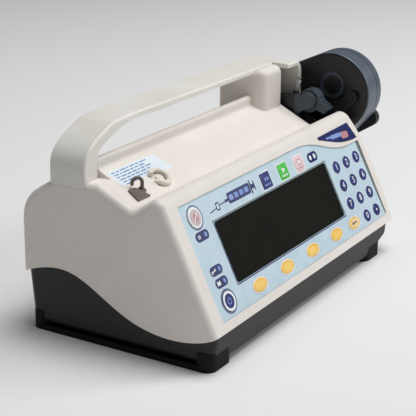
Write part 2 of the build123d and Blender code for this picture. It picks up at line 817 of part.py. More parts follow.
with BuildPart() as overlay:
    with BuildSketch(face(recess + overlay_thickness)):
        add(panel_outline(panel_gap))
        with Locations(((display_left + display_right) / 2, (display_low + display_high) / 2)):
            RectangleRounded(display_right - display_left, display_high - display_low, 2, mode=Mode.SUBTRACT)
    extrude(amount=overlay_thickness)
    for name, x, v, wide, high in keys:
        with BuildSketch(face(short_cut)):
            with Locations((x, v)):
                add(key_outline(wide, high, key_gap))
        extrude(amount=deep_cut, mode=Mode.SUBTRACT)
save(overlay, "keypad_overlay")

for name, x, v, wide, high in keys:
    with BuildPart() as key:
        with BuildSketch(face(key_bottom)):
            with Locations((x, v)):
                add(key_outline(wide, high, 0))
        extrude(amount=key_height)
        crown = key.faces().sort_by(lambda f: f.center().Y * -face_sin + f.center().Z * face_cos)[-1]
        fillet(crown.edges(), 0.4)
    save(key, name)

with BuildPart() as window:
    with BuildSketch(face(recess + overlay_thickness + window_thickness + window_drop)):
        with Locations(((display_left + display_right) / 2, (display_low + display_high) / 2)):
            Rectangle(display_right - display_left - 2 * key_gap, display_high - display_low - 2 * key_gap)
    extrude(amount=window_thickness)
save(window, "display_window")

with BuildPart() as display:
    with BuildSketch(face(panel_depth + display_thickness)):
        with Locations(((display_left + display_right) / 2, (display_low + display_high) / 2)):
            Rectangle(display_right - display_left + 8, display_high - display_low + 8)
    extrude(amount=display_thickness)
    with BuildSketch(face(panel_depth)):
        with Locations(((display_left + display_right) / 2, (display_low + display_high) / 2)):
            Rectangle(display_right - display_left - 2 * key_gap, display_high - display_low - 2 * key_gap)
    extrude(amount=backplate_thickness - window_thickness - window_drop)
save(display, "display_module")

with BuildPart() as board:
    with BuildSketch(face(panel_depth + display_thickness + board_thickness)):
        with Locations(((board_left + board_right) / 2, (board_low + board_high) / 2)):
            Rectangle(board_right - board_left, board_high - board_low)
    extrude(amount=board_thickness)
    chip_plane = face(panel_depth + display_thickness + board_thickness + 2)
    with BuildSketch(chip_plane):
        with Locations(*[(board_left + 30 + 36 * i, (board_low + board_high) / 2) for i in range(5)]):
            Rectangle(16, 16)
        with Locations(*[(board_left + 48 + 36 * i, board_high - 9) for i in range(4)]):
            Rectangle(9, 5)
    extrude(amount=2)
save(board, "main_board")

# ---------------------------------------------------------------- drive train
with BuildPart() as frame:
    with BuildSketch(station(plate_start)):
        with BuildLine():
            Polyline(
                (frame_front, frame_floor),
                (frame_front, frame_top - 14),
                (frame_front + 10, frame_top),
                (tube_depth + 14, frame_top),
                (frame_back, screw_height + 24),
                (frame_back, frame_floor),
                close=True,
            )
        make_face()
    extrude(amount=plate_thickness)
    with BuildSketch(station(plate_end)):
        with BuildLine():
            Polyline(
                (frame_front, frame_floor),
                (frame_front, frame_top - 14),
                (frame_front + 10, frame_top),
                (tube_depth + tube_radius + 2, frame_top),
                (tube_depth + tube_radius + 2, frame_floor),
                close=True,
            )
        make_face()
    extrude(amount=plate_thickness)
    with BuildSketch(level(frame_floor)):
        with Locations(((plate_start + plate_end + plate_thickness) / 2, (frame_front + post_depth - 8) / 2)):
            Rectangle(plate_end + plate_thickness - plate_start, post_depth - 8 - frame_front)
    extrude(amount=floor_thickness)
    for x in (plate_start, plate_end):
        with BuildSketch(station(x)):
            with Locations((tube_depth, screw_height)):
                Circle(bearing_radius)
            with Locations((tube_depth, guide_height)):
                Circle(guide_radius)
        extrude(amount=plate_thickness, mode=Mode.SUBTRACT)
    with BuildSketch(station(plate_end)):
        with Locations((tube_depth, tube_height)):
            Circle(tube_radius + running)
    extrude(amount=plate_thickness, mode=Mode.SUBTRACT)
    with BuildSketch(station(plate_start)):
        with Locations((motor_depth, screw_height)):
            Circle(motor_shaft + 2)
    extrude(amount=plate_thickness, mode=Mode.SUBTRACT)
save(frame, "drive_frame")

with BuildPart() as guide_rod:
    with BuildSketch(station(plate_start)):
        with Locations((tube_depth, guide_height)):
            Circle(guide_radius)
    extrude(amount=plate_end + plate_thickness - plate_start)
save(guide_rod, "guide_rod")

with BuildPart() as bearings:
    for x in (plate_start, plate_end):
        with BuildSketch(station(x)):
            with Locations((tube_depth, screw_height)):
                Circle(bearing_radius)
                Circle(screw_radius + running, mode=Mode.SUBTRACT)
        extrude(amount=plate_thickness)
save(bearings, "screw_bearings")

with BuildPart() as screw:
    with BuildSketch(station(gear_start - 2)):
        with Locations((tube_depth, screw_height)):
            Circle(screw_radius)
    extrude(amount=plate_end + plate_thickness + 2 - gear_start + 2)
save(screw, "lead_screw")


def gear(teeth, depth, start, bore, phase):
    """Spur gear with straight-flanked teeth, on an axis at the given depth; phase turns it, in teeth."""
    pitch_radius = gear_module * teeth / 2
    root = pitch_radius - 1.25 * gear_module
    tip = pitch_radius + 0.9 * gear_module
    with BuildPart() as wheel:
        with BuildSketch(station(start)):
            with Locations((depth, screw_height)):
                Circle(root)
                with PolarLocations(0, teeth, start_angle=360 * phase / teeth):
                    Polygon(
                        (root - 0.3, -tooth_root / 2),
                        (tip, -tooth_tip / 2),
                        (tip, tooth_tip / 2),
                        (root - 0.3, tooth_root / 2),
                        align=None,
                    )
                Circle(bore, mode=Mode.SUBTRACT)
        extrude(amount=gear_width)
    return wheel


screw_gear = gear(gear_teeth, tube_depth, gear_start, screw_radius, 0)
save(screw_gear, "screw_gear")

# the pinion is cut on the end of the motor's own shaft
with BuildPart() as pinion:
    add(gear(pinion_teeth, motor_depth, gear_start, motor_shaft, 0.5).part)
    with BuildSketch(station(gear_start)):
        with Locations((motor_depth, screw_height)):
            Circle(motor_shaft)
    extrude(amount=plate_start + plate_thickness + motor_length - gear_start)
save(pinion, "motor_pinion")

with BuildPart() as motor:
    with BuildSketch(station(plate_start + plate_thickness)):
        with Locations((motor_depth, screw_height)):
            RectangleRounded(2 * motor_radius, 2 * motor_radius, 4)
            Circle(motor_shaft + running, mode=Mode.SUBTRACT)
    extrude(amount=motor_length)
save(motor, "drive_motor")

with BuildPart() as tube:
    with BuildSketch(station(carriage_start)):
        with Locations((tube_depth, tube_height)):
            Circle(tube_radius)
            Circle(tube_bore, mode=Mode.SUBTRACT)
    extrude(amount=head_start + tube_in_head - carriage_start)
save(tube, "drive_tube")

with BuildPart() as carriage:
    with BuildSketch(station(carriage_start)):
        with Locations((tube_depth, (carriage_bottom + carriage_top) / 2)):
            RectangleRounded(2 * carriage_half_width, carriage_top - carriage_bottom, 3)
        with Locations((tube_depth, tube_height)):
            Circle(tube_radius, mode=Mode.SUBTRACT)
        with Locations((tube_depth, screw_height)):
            Circle(screw_radius + 1.5, mode=Mode.SUBTRACT)
        with Locations((tube_depth, guide_height)):
            Circle(guide_radius + running, mode=Mode.SUBTRACT)
    extrude(amount=carriage_length)
    with BuildSketch(level(screw_height - nut_depth - nut_travel - 0.5)):
        with Locations((carriage_start + carriage_length / 2, tube_depth)):
            Rectangle(nut_length + 2 * nut_gap, 2 * nut_half_width + 2 * nut_gap)
    extrude(amount=nut_depth + nut_travel + 1, mode=Mode.SUBTRACT)
save(carriage, "drive_carriage")

with BuildPart() as half_nut:
    with BuildSketch(station(carriage_start + (carriage_length - nut_length) / 2)):
        with Locations((tube_depth, screw_height - nut_depth / 2 - 0.3)):
            Rectangle(2 * nut_half_width, nut_depth - 0.6)
        with Locations((tube_depth, screw_height)):
            Circle(screw_radius + running, mode=Mode.SUBTRACT)
    extrude(amount=nut_length)
save(half_nut, "half_nut")

with BuildPart() as seal:
    with BuildSketch(station(case_length - 2 * wall + 1)):
        with Locations((tube_depth, tube_height)):
            Circle(seal_radius)
            Circle(tube_radius + running, mode=Mode.SUBTRACT)
    extrude(amount=2 * wall - 1)
    with BuildSketch(station(case_length)):
        with Locations((tube_depth, tube_height)):
            Circle(seal_radius + 2)
            Circle(tube_radius + running, mode=Mode.SUBTRACT)
    extrude(amount=1.2)
save(seal, "tube_seal")

# ---------------------------------------------------------------- plunger driver
lobes = [
    (axis_depth, top_lobe_height, top_lobe),
    (rear_lobe_depth, rear_lobe_height, rear_lobe),
    (tube_depth, tube_height, low_lobe),
]
flippers = [("front", axis_depth - flipper_spread, -1), ("rear", axis_depth + flipper_spread, 1)]


def head_outline(inset):
    """End-on outline of the driver head: three round lobes and the straight tangents between them."""
    with BuildSketch(Plane.XY) as outline:
        for y, z, radius in lobes:
            with Locations((y, z)):
                Circle(radius - inset)
        make_hull()
    return outline.sketch


with BuildPart() as head:
    with BuildSketch(station(head_start)):
        add(head_outline(0))
    extrude(amount=head_front_length)
    fillet(head.faces().sort_by(Axis.X)[0].edges(), head_round)
    with BuildSketch(station(head_start + head_wall)):
        add(head_outline(head_wall))
    extrude(amount=head_front_length, mode=Mode.SUBTRACT)
    with BuildSketch(station(head_start + 1)):
        with Locations((tube_depth, tube_height)):
            Circle(tube_radius + 3)
        with Locations((axis_depth, axis_height + button_rise)):
            Circle(button_recess_radius + 2)
        with Locations(*[(y, flipper_height) for name, y, side in flippers]):
            Circle(flipper_pin + 2.5)
    extrude(amount=tube_in_head - 1)
    with BuildSketch(station(head_start - 1)):
        with Locations((tube_depth, tube_height)):
            Circle(tube_radius)
        with Locations(*[(y, flipper_height) for name, y, side in flippers]):
            Circle(flipper_pin + running)
    extrude(amount=tube_in_head + 2, mode=Mode.SUBTRACT)
    with BuildSketch(station(head_start - 1)):
        with Locations((axis_depth, axis_height + button_rise)):
            Circle(button_recess_radius)
    extrude(amount=1 + button_recess_depth, mode=Mode.SUBTRACT)
    with BuildSketch(station(head_start - 1)):
        with Locations((axis_depth, axis_height + button_rise)):
            Circle(button_radius + running)
    extrude(amount=1 + button_recess_depth + button_depth, mode=Mode.SUBTRACT)
save(head, "driver_head")

with BuildPart() as cover:
    with BuildSketch(station(head_split)):
        add(head_outline(0))
    extrude(amount=head_back_length)
    fillet(cover.faces().sort_by(Axis.X)[-1].edges(), cover_round)
    with BuildSketch(station(head_split - head_seam)):
        add(head_outline(head_wall))
    extrude(amount=head_back_length - head_wall, mode=Mode.SUBTRACT)
    # groove that shows the joint between the two halves
    with BuildSketch(station(head_split)):
        add(head_outline(0))
        add(head_outline(0.8), mode=Mode.SUBTRACT)
    extrude(amount=0.7, mode=Mode.SUBTRACT)
    with BuildSketch(station(head_split)):
        with Locations((tube_depth, tube_height)):
            Circle(tube_bore - rod_inset + running)
    extrude(amount=head_back_length, mode=Mode.SUBTRACT)
save(cover, "driver_cover")

with BuildPart() as release_rod:
    with BuildSketch(station(carriage_start - crank_width - 0.5)):
        with Locations((tube_depth, tube_height)):
            Circle(tube_bore - rod_inset)
    extrude(amount=lever_start + lever_thickness - 2 - carriage_start + crank_width + 0.5)
    with BuildSketch(station(carriage_start - crank_width - 0.5)):
        with Locations((tube_depth, tube_height)):
            Circle(tube_bore + 1)
        with Locations((tube_depth, tube_height - crank_reach / 2)):
            Rectangle(5, crank_reach)
    extrude(amount=crank_width)
save(release_rod, "release_rod")

with BuildPart() as lever:
    with BuildSketch(station(lever_start)):
        with Locations((tube_depth, tube_height)):
            Circle(lever_hub)
        with Locations((lever_tip_depth, lever_tip_height)):
            Circle(lever_tip_radius)
        make_hull()
    extrude(amount=lever_thickness)
    fillet(lever.faces().sort_by(Axis.X)[-1].edges(), 2)
    with BuildSketch(station(lever_start)):
        with Locations((tube_depth, tube_height)):
            Circle(tube_bore - rod_inset)
    extrude(amount=lever_thickness - 2, mode=Mode.SUBTRACT)
save(lever, "clutch_lever")

for name, y, side in flippers:
    with BuildPart() as flipper:
        claw_y = y - side * flipper_reach * 0.62
        claw_z = flipper_height - flipper_reach * 0.78
        with BuildSketch(station(head_start - flipper_gap - flipper_thickness)):
            with Locations((y, flipper_height)):
                Circle(flipper_hub)
            with Locations((claw_y, claw_z)):
                Circle(flipper_hub * 0.6)
            make_hull()
        extrude(amount=flipper_thickness)
        with BuildSketch(station(head_start - flipper_gap - flipper_thickness - flipper_claw)):
            with Locations((claw_y, claw_z)):
                Circle(flipper_hub * 0.6)
        extrude(amount=flipper_claw)
        with BuildSketch(station(head_start - flipper_gap - flipper_thickness - 1)):
            with Locations((y, flipper_height)):
                Circle(flipper_pin)
        extrude(amount=flipper_thickness + flipper_gap + tube_in_head)
    save(flipper, f"plunger_holder_{name}")

with BuildPart() as sensor:
    with BuildSketch(station(head_start + button_recess_depth - button_proud)):
        with Locations((axis_depth, axis_height + button_rise)):
            Circle(button_radius)
    extrude(amount=button_proud + button_depth - button_travel - 0.3)
    fillet(sensor.faces().sort_by(Axis.X)[0].edges(), 1)
save(sensor, "plunger_sensor_button")

# ---------------------------------------------------------------- electrics
with BuildPart() as battery:
    with BuildSketch(level(base_bottom + wall)):
        with Locations((battery_middle, battery_depth)):
            RectangleRounded(battery_length, battery_width, 4)
    extrude(amount=battery_height)
save(battery, "battery_pack")

with BuildPart() as supply:
    with BuildSketch(level(base_bottom + wall + battery_height)):
        with Locations((battery_middle, battery_depth)):
            Rectangle(battery_length, battery_width)
    extrude(amount=1.6)
    with BuildSketch(level(base_bottom + wall + battery_height + 1.6)):
        with Locations((battery_middle - 28, battery_depth)):
            Rectangle(30, 26)
        with Locations((battery_middle + 22, battery_depth + 4)):
            Circle(8)
        with Locations((battery_middle + 4, battery_depth - 4)):
            Rectangle(12, 16)
    extrude(amount=20)
save(supply, "power_supply_board")

with BuildPart() as inlet:
    with BuildSketch(upright(case_depth)):
        with Locations((inlet_x, inlet_height)):
            RectangleRounded(inlet_width + 2 * inlet_flange, inlet_high + 2 * inlet_flange, 3)
    extrude(amount=inlet_plate)
    with BuildSketch(upright(case_depth - inlet_plate)):
        with Locations((inlet_x, inlet_height)):
            RectangleRounded(inlet_width, inlet_high, 1.5)
    extrude(amount=inlet_length)
    with BuildSketch(upright(case_depth)):
        with Locations((inlet_x, inlet_height)):
            RectangleRounded(inlet_width - 3.6, inlet_high - 3.6, 2)
    extrude(amount=inlet_length - 1, mode=Mode.SUBTRACT)
    blades = [(inlet_x - 7, inlet_height - 2), (inlet_x, inlet_height + 2), (inlet_x + 7, inlet_height - 2)]
    with BuildSketch(upright(case_depth - blade_depth)):
        with Locations(*blades):
            Rectangle(2, 4.5)
    extrude(amount=inlet_length - blade_depth)
save(inlet, "power_inlet")

# ---------------------------------------------------------------- tubing hook and clip on the slope
slope_plane = Plane(
    origin=(LEFT, FRONT + valley_depth, valley_height),
    x_dir=(1, 0, 0),
    z_dir=(0, -sin(radians(slope_degrees)), cos(radians(slope_degrees))),
).offset(seat_gap)


def up_slope(y):
    """Distance up the channel's rear slope of a point at depth y."""
    return (y - valley_depth) / cos(radians(slope_degrees))


with BuildPart() as hook:
    foot = up_slope(hook_depth)
    with BuildSketch(slope_plane) as kite:
        Polygon(
            (hook_x - 14, foot - 6.5),
            (hook_x - 11.5, foot + 4),
            (hook_x - 5, foot + 3.5),
            (hook_x - 0.5, foot - 6.5),
            align=None,
        )
    extrude(amount=1.2)
    with BuildSketch(slope_plane):
        with Locations((hook_x - 1, foot)):
            Circle(hook_wire + 1.6)
    extrude(amount=1.2)
    hook_root = slope_plane.from_local_coords(Vector(hook_x - 1, foot, 0.6))
    with BuildLine() as stem:
        with BuildLine(Plane(origin=hook_root, x_dir=(-0.8, 0.6, 0), z_dir=(0.6, 0.8, 0))):
            Line((0, 0), (0, hook_rise))
            CenterArc((hook_curl, hook_rise), hook_curl, 180, -200)
    with BuildSketch(Plane(origin=hook_root, z_dir=(0, 0, 1))):
        Circle(hook_wire)
    sweep(path=stem.line)
save(hook, "tubing_hook")

with BuildPart() as pigtail:
    middle = up_slope(clip_depth)
    with BuildLine(slope_plane.offset(pigtail_wire + 0.1)) as curl_line:
        CenterArc((clip_x, middle), pigtail_radius, -150, 290)
    with BuildSketch(Plane(curl_line.line @ 0, z_dir=curl_line.line % 0)):
        Circle(pigtail_wire)
    sweep()
    with BuildSketch(slope_plane):
        with Locations((clip_x, middle)):
            Circle(pigtail_radius * 0.45)
        with Locations((clip_x - pigtail_radius * 0.5, middle - pigtail_radius * 0.3)):
            Rectangle(pigtail_radius, 2.4)
    extrude(amount=1.5)
save(pigtail, "tubing_clip")
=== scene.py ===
"""Syringe infusion pump: finishes, printed keypad, fittings, soft studio light and camera."""

import json
from math import atan2, cos, hypot, radians, sin

import bpy
from mathutils import Matrix, Vector


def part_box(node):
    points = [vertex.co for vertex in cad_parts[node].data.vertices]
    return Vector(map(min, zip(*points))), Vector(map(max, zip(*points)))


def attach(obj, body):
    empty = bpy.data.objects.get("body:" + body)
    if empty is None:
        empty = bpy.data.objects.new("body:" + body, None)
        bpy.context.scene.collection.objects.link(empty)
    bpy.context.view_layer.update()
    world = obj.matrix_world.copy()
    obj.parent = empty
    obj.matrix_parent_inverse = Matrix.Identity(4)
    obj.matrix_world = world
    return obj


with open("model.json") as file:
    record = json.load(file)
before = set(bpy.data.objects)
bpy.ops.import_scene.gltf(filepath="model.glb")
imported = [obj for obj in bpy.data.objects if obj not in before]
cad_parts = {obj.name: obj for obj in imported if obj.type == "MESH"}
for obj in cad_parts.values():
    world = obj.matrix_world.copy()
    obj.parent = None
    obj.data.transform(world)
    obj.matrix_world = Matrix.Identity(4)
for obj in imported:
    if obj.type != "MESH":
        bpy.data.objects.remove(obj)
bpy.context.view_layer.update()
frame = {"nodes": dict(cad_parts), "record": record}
NODES = frame["nodes"]
MM = 0.001
INK = 0.06 * MM  # a printed layer, thick enough to stay above its ground

# ---------------------------------------------------------------- where things are, from the frame


def middle(node):
    """Centre of a node's box."""
    low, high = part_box(node)
    return (Vector(low) + Vector(high)) / 2


def joint(name):
    """The record's entry for a joint."""
    return next(j for j in frame["record"]["behaviour"]["joints"] if j["name"] == name)


ALONG = Vector((1, 0, 0))
OUT = -Vector(joint("key_5_press")["axis"]).normalized()
UP_FACE = OUT.cross(ALONG).normalized()
CASE_LOW, CASE_HIGH = (Vector(c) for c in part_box("top_case"))
LEFT = CASE_LOW.x
FILM = NODES["keypad_overlay"]
FILM_OUT = max(OUT.dot(v.co) for v in FILM.data.vertices)
KEY_OUT = max(OUT.dot(v.co) for v in NODES["key_5"].data.vertices)
CASE_OUT = max(OUT.dot(v.co) for v in NODES["top_case"].data.vertices)
FILM_LOW = min(UP_FACE.dot(v.co) for v in FILM.data.vertices)
FILM_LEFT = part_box("keypad_overlay")[0][0]
FRONT = CASE_LOW.y
HEAD_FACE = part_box("driver_head")[0][0]
HUB_BACK = FRONT + 77.5 * MM  # behind this the clamp's arm is painted black as shade
VALLEY = Vector((0, FRONT + 61 * MM, 95.7 * MM))  # bottom line of the syringe channel
SLOPE = radians(26.05)  # rise of the channel's rear slope


def on_face(x, up, out, turn=0.0):
    """Matrix that puts a flat shape, drawn about the origin in X and Y, on the keypad face."""
    centre = ALONG * x + UP_FACE * up + OUT * out
    basis = Matrix((ALONG, UP_FACE, OUT)).transposed().to_4x4()
    return Matrix.Translation(centre) @ basis @ Matrix.Rotation(turn, 4, "Z")


def on_slope(x, back, layer=0, turn=0.0):
    """Matrix for a flat shape on the channel's rear slope, x from the left end, back from the valley."""
    across = Vector((0, cos(SLOPE), sin(SLOPE)))
    upward = ALONG.cross(across)
    spot = VALLEY + ALONG * (LEFT + x * MM) + across * (back * MM) + upward * (0.02 * MM + INK * layer)
    basis = Matrix((ALONG, across, upward)).transposed().to_4x4()
    return Matrix.Translation(spot) @ basis @ Matrix.Rotation(turn, 4, "Z")


def key_spot(node):
    """(x, height up the face) of a key's centre."""
    centre = middle(node)
    return centre.x, UP_FACE.dot(centre)


# ---------------------------------------------------------------- materials


def srgb(code):
    """Linear colour of an sRGB hex value."""
    channels = [int(code[i : i + 2], 16) / 255 for i in (1, 3, 5)]
    linear = [c / 12.92 if c <= 0.04045 else ((c + 0.055) / 1.055) ** 2.4 for c in channels]
    return (*linear, 1.0)


def add_node(material, kind, links=(), **settings):
    """Adds one node with its settings; links are (input name, other node's output)."""
    node = material.node_tree.nodes.new(kind)
    for key, value in settings.items():
        if key in node.inputs:
            node.inputs[key].default_value = value
        else:
            setattr(node, key, value)
    for key, output in links:
        material.node_tree.links.new(output, node.inputs[key])
    return node


def surface(name, **settings):
    """A new material with a Principled shader; returns it, its shader and its Object coordinates."""
    material = bpy.data.materials.new(name)
    material.use_nodes = True
    shader = material.node_tree.nodes["Principled BSDF"]
    for key, value in settings.items():
        shader.inputs[key.replace("_", " ")].default_value = value
    coords = add_node(material, "ShaderNodeTexCoord").outputs["Object"]
    return material, shader, coords


def moulded(
    name, light, dark, grit_mm, depth_mm, roughness, patch_mm=35.0, speck=0.06, beyond=None, **settings
):
    """Moulded plastic: a spark-eroded grit that also speckles the tone, and a slow drift of tone and gloss.

    beyond is (axis, place, hex colour) where the colour changes along that axis; it paints shade on one side
    of the place."""
    material, shader, coords = surface(name, Roughness=roughness, **settings)
    links = material.node_tree.links
    drift = add_node(
        material,
        "ShaderNodeTexNoise",
        [("Vector", coords)],
        Scale=1 / (patch_mm * MM),
        Detail=4.0,
        Roughness=0.6,
    )
    tone = add_node(material, "ShaderNodeValToRGB", [("Fac", drift.outputs["Fac"])])
    for stop, place, colour in zip(tone.color_ramp.elements, (0.3, 0.7), (dark, light)):
        stop.position = place
        stop.color = srgb(colour)
    colour = tone.outputs["Color"]
    if beyond:
        axis, place, other = beyond
        parts = add_node(material, "ShaderNodeSeparateXYZ", [("Vector", coords)])
        step = add_node(
            material,
            "ShaderNodeMapRange",
            [("Value", parts.outputs[axis])],
            **{"From Min": place - 0.2 * MM, "From Max": place + 0.2 * MM},
        )
        shade_split = add_node(
            material,
            "ShaderNodeMixRGB",
            [("Fac", step.outputs["Result"]), ("Color1", colour)],
            Color2=srgb(other),
        )
        colour = shade_split.outputs["Color"]
    grit = add_node(
        material,
        "ShaderNodeTexNoise",
        [("Vector", coords)],
        Scale=1 / (grit_mm * MM),
        Detail=2.0,
        Roughness=0.7,
    )
    dots = add_node(
        material,
        "ShaderNodeMapRange",
        [("Value", grit.outputs["Fac"])],
        **{"From Min": 0.3, "From Max": 0.7, "To Min": 1 - 2 * speck, "To Max": 1.0},
    )
    speckled = add_node(
        material,
        "ShaderNodeMixRGB",
        [("Color1", colour), ("Color2", dots.outputs["Result"])],
        blend_type="MULTIPLY",
        Fac=1.0,
    )
    links.new(speckled.outputs["Color"], shader.inputs["Base Color"])
    gloss = add_node(
        material,
        "ShaderNodeMapRange",
        [("Value", drift.outputs["Fac"])],
        **{"To Min": roughness - 0.05, "To Max": roughness + 0.06},
    )
    links.new(gloss.outputs["Result"], shader.inputs["Roughness"])
    bump = add_node(
        material, "ShaderNodeBump", [("Height", grit.outputs["Fac"])], Strength=0.6, Distance=depth_mm * MM
    )
    links.new(bump.outputs["Normal"], shader.inputs["Normal"])
    return material


def smooth_film(name, light, dark, roughness, **settings):
    """Printed polyester film: even ink under a smooth skin, with the faint mottle of screen printing."""
    material, shader, coords = surface(name, Roughness=roughness, **settings)
    links = material.node_tree.links
    mottle = add_node(material, "ShaderNodeTexNoise", [("Vector", coords)], Scale=1 / (14 * MM), Detail=3.0)
    ramp = add_node(material, "ShaderNodeValToRGB", [("Fac", mottle.outputs["Fac"])])
    ramp.color_ramp.elements[0].position = 0.3
    ramp.color_ramp.elements[1].position = 0.7
    ramp.color_ramp.elements[0].color = srgb(dark)
    ramp.color_ramp.elements[1].color = srgb(light)
    links.new(ramp.outputs["Color"], shader.inputs["Base Color"])
    ripple = add_node(material, "ShaderNodeTexNoise", [("Vector", coords)], Scale=1 / (3 * MM), Detail=1.0)
    bump = add_node(
        material, "ShaderNodeBump", [("Height", ripple.outputs["Fac"])], Strength=0.2, Distance=0.03 * MM
    )
    links.new(bump.outputs["Normal"], shader.inputs["Normal"])
    return material


def machined(name, light, dark, roughness, stretch, grain_mm=0.25):
    """Bright metal with the fine drawn or turned lines of its making, stretched along one axis."""
    material, shader, coords = surface(name, Roughness=roughness, Metallic=1.0)
    links = material.node_tree.links
    mapping = add_node(material, "ShaderNodeMapping", [("Vector", coords)], Scale=stretch)
    lines = add_node(
        material,
        "ShaderNodeTexNoise",
        [("Vector", mapping.outputs["Vector"])],
        Scale=1 / (grain_mm * MM),
        Detail=3.0,
    )
    ramp = add_node(material, "ShaderNodeValToRGB", [("Fac", lines.outputs["Fac"])])
    ramp.color_ramp.elements[0].color = srgb(dark)
    ramp.color_ramp.elements[1].color = srgb(light)
    links.new(ramp.outputs["Color"], shader.inputs["Base Color"])
    bump = add_node(
        material, "ShaderNodeBump", [("Height", lines.outputs["Fac"])], Strength=0.3, Distance=0.02 * MM
    )
    links.new(bump.outputs["Normal"], shader.inputs["Normal"])
    return material


# Textured ABS, spark-eroded mould: a warm white with a dry sheen that never mirrors.
CASE_WHITE = moulded("textured_white_abs", "#F3EDE7", "#EDE6DF", 1.0, 0.06, 0.46, speck=0.05)
# The handle is the same ABS, a shade creamier from being held.
HANDLE_WHITE = moulded("textured_cream_abs", "#F4F2EC", "#EDEAE1", 0.9, 0.05, 0.42, speck=0.04)
# Glass-filled polycarbonate, coarse texture: dark grey that greys further where light grazes it.
BASE_GREY = moulded(
    "textured_grey_polycarbonate", "#1E1F23", "#151619", 0.9, 0.08, 0.45, speck=0.12, Specular_IOR_Level=0.35
)
# Moulded nitrile rubber: dead black with a soft broad highlight.
FOOT_BLACK = moulded("moulded_nitrile_rubber", "#0B0B0C", "#070707", 1.2, 0.06, 0.7, Specular_IOR_Level=0.25)
# Acetal, satin mould: near-black with a waxy glow on its curves.
CRADLE_BLACK = moulded("satin_black_acetal", "#1A1B1D", "#121315", 0.5, 0.02, 0.38)
# Nylon, soft satin: dark blue-grey on the hub and its tab; the arm behind them is painted black as shade,
# where it runs in under the tower.
CLAMP_GREY = moulded(
    "satin_blue_grey_nylon_painted_shade_arm", "#424C56", "#333C46", 0.5, 0.03, 0.42, beyond=("Y", HUB_BACK, "#17181B")
)
# Glass-filled nylon of the driver: blue-grey with a broad satin highlight on its rim.
DRIVER_GREY = moulded("satin_slate_nylon", "#566270", "#485460", 0.6, 0.03, 0.36)
# The driver's face is painted near-black as shade on its left-facing side; past it the rim keeps the slate
# plastic's own colour.
DRIVER_SHADED_FACE = moulded(
    "satin_slate_nylon_painted_shade_face",
    "#141517",
    "#0E0F11",
    0.6,
    0.03,
    0.36,
    beyond=("X", HEAD_FACE + 0.5 * MM, "#566270"),
)
# The driver's small parts, matt: they lose their edges against the face's painted shade.
DRIVER_DARK = moulded("matt_black_nylon", "#121315", "#0C0D0E", 0.6, 0.03, 0.5)
# Printed polyester film over the keypad: pale blue ink, semi-gloss.
PANEL_BLUE = smooth_film("printed_polyester_film_blue", "#CBE0EC", "#BFD6E2", 0.36)
# Embossed film over the keys: the same print, smoother, so each dome takes a small highlight.
KEY_NAVY = smooth_film("embossed_film_navy", "#2B3580", "#222A6C", 0.3)
KEY_YELLOW = smooth_film("embossed_film_amber", "#FBD06E", "#F3C45C", 0.32)
KEY_GREEN = smooth_film("embossed_film_green", "#4FC94F", "#41BB45", 0.32)
KEY_PINK = smooth_film("embossed_film_pale_pink", "#F0D7DC", "#E6C6CC", 0.32)
KEY_WHITE = smooth_film("embossed_film_white", "#F4F6F8", "#E9EDF1", 0.32)
# Screen inks: flatter than the film, so signs stay readable where it shines.
INK_WHITE = smooth_film("white_screen_ink", "#F8F9FA", "#EEF1F3", 0.45)
INK_NAVY = smooth_film("navy_screen_ink", "#27306F", "#1E2660", 0.45)
INK_ROSE = smooth_film("rose_screen_ink", "#C98F97", "#BB7F88", 0.45)
INK_CREAM = smooth_film("cream_screen_ink", "#F3DDB4", "#EDD09C", 0.4)
INK_AMBER = smooth_film("amber_screen_ink", "#FFDB7C", "#FBCF62", 0.4)
INK_BLUSH = smooth_film("blush_screen_ink", "#D3BFC1", "#C8B2B5", 0.4)
# Resin dome over a navy print: the glossiest spot on the case.
BADGE_NAVY = smooth_film("domed_navy_badge", "#23306F", "#17215A", 0.2)
INK_BROWN = smooth_film("brown_screen_ink", "#8A6238", "#79532C", 0.45)
INK_PALE = smooth_film("pale_blue_screen_ink", "#DDEAF4", "#D2E1ED", 0.45)
# Slate green laid on as painted shade: the recess wall by the film's right edge, the display's upper and
# right border lines, the rim round the badge.
PAINTED_SHADE_SLATE = smooth_film("slate_green_painted_shade", "#66726F", "#5A6663", 0.5)
INK_SKY = smooth_film("sky_blue_screen_ink", "#8FA9E0", "#6F8CD0", 0.45)
INK_TEXT = smooth_film("blue_label_ink", "#6C93C4", "#5880B4", 0.5)
# Vinyl label: slightly cooler and shinier than the case around it.
LABEL_FILM = smooth_film("label_vinyl_pale_blue", "#EAF2F8", "#DDE9F2", 0.4)
SHADE_GREY = moulded("grey_gasket_foam", "#4A4C4C", "#3B3D3D", 0.6, 0.05, 0.7)
# Polycarbonate window over an unlit display: nearly black with an olive cast and a soft mirror.
WINDOW = smooth_film("smoked_polycarbonate_window", "#12130C", "#0E0F09", 0.45, Specular_IOR_Level=0.06)
# Steels and brasses of the drive, seen only through gaps.
POLISHED_STEEL = machined("polished_stainless_steel", "#D9DBDD", "#B9BCBF", 0.22, (1, 8, 1))
GROUND_STEEL = machined("ground_steel_rod", "#C9CBCD", "#A9ACAF", 0.25, (8, 1, 1))
ZINC_PLATE = machined("zinc_plated_steel_sheet", "#C3C6C4", "#A3A8A8", 0.38, (1, 1, 6))
TURNED_BRASS = machined("turned_brass", "#C9A653", "#B08B3C", 0.3, (8, 1, 1))
SINTERED_BRONZE = machined("sintered_bronze", "#A87A42", "#8A6232", 0.45, (1, 1, 1))
# Plastics and coatings of the inner parts, seen only when the pump is taken apart.
ACETAL_CREAM = moulded("natural_acetal_gear", "#E8E0CC", "#DDD3BB", 0.4, 0.01, 0.4)
SOLDER_MASK = moulded("green_solder_mask", "#1F6A44", "#174F33", 2.0, 0.02, 0.35)
SHRINK_BLUE = smooth_film("pvc_shrink_sleeve_blue", "#35589A", "#2A4A86", 0.35)
MOTOR_CAN = moulded("painted_motor_can", "#515459", "#43464A", 0.6, 0.02, 0.4)
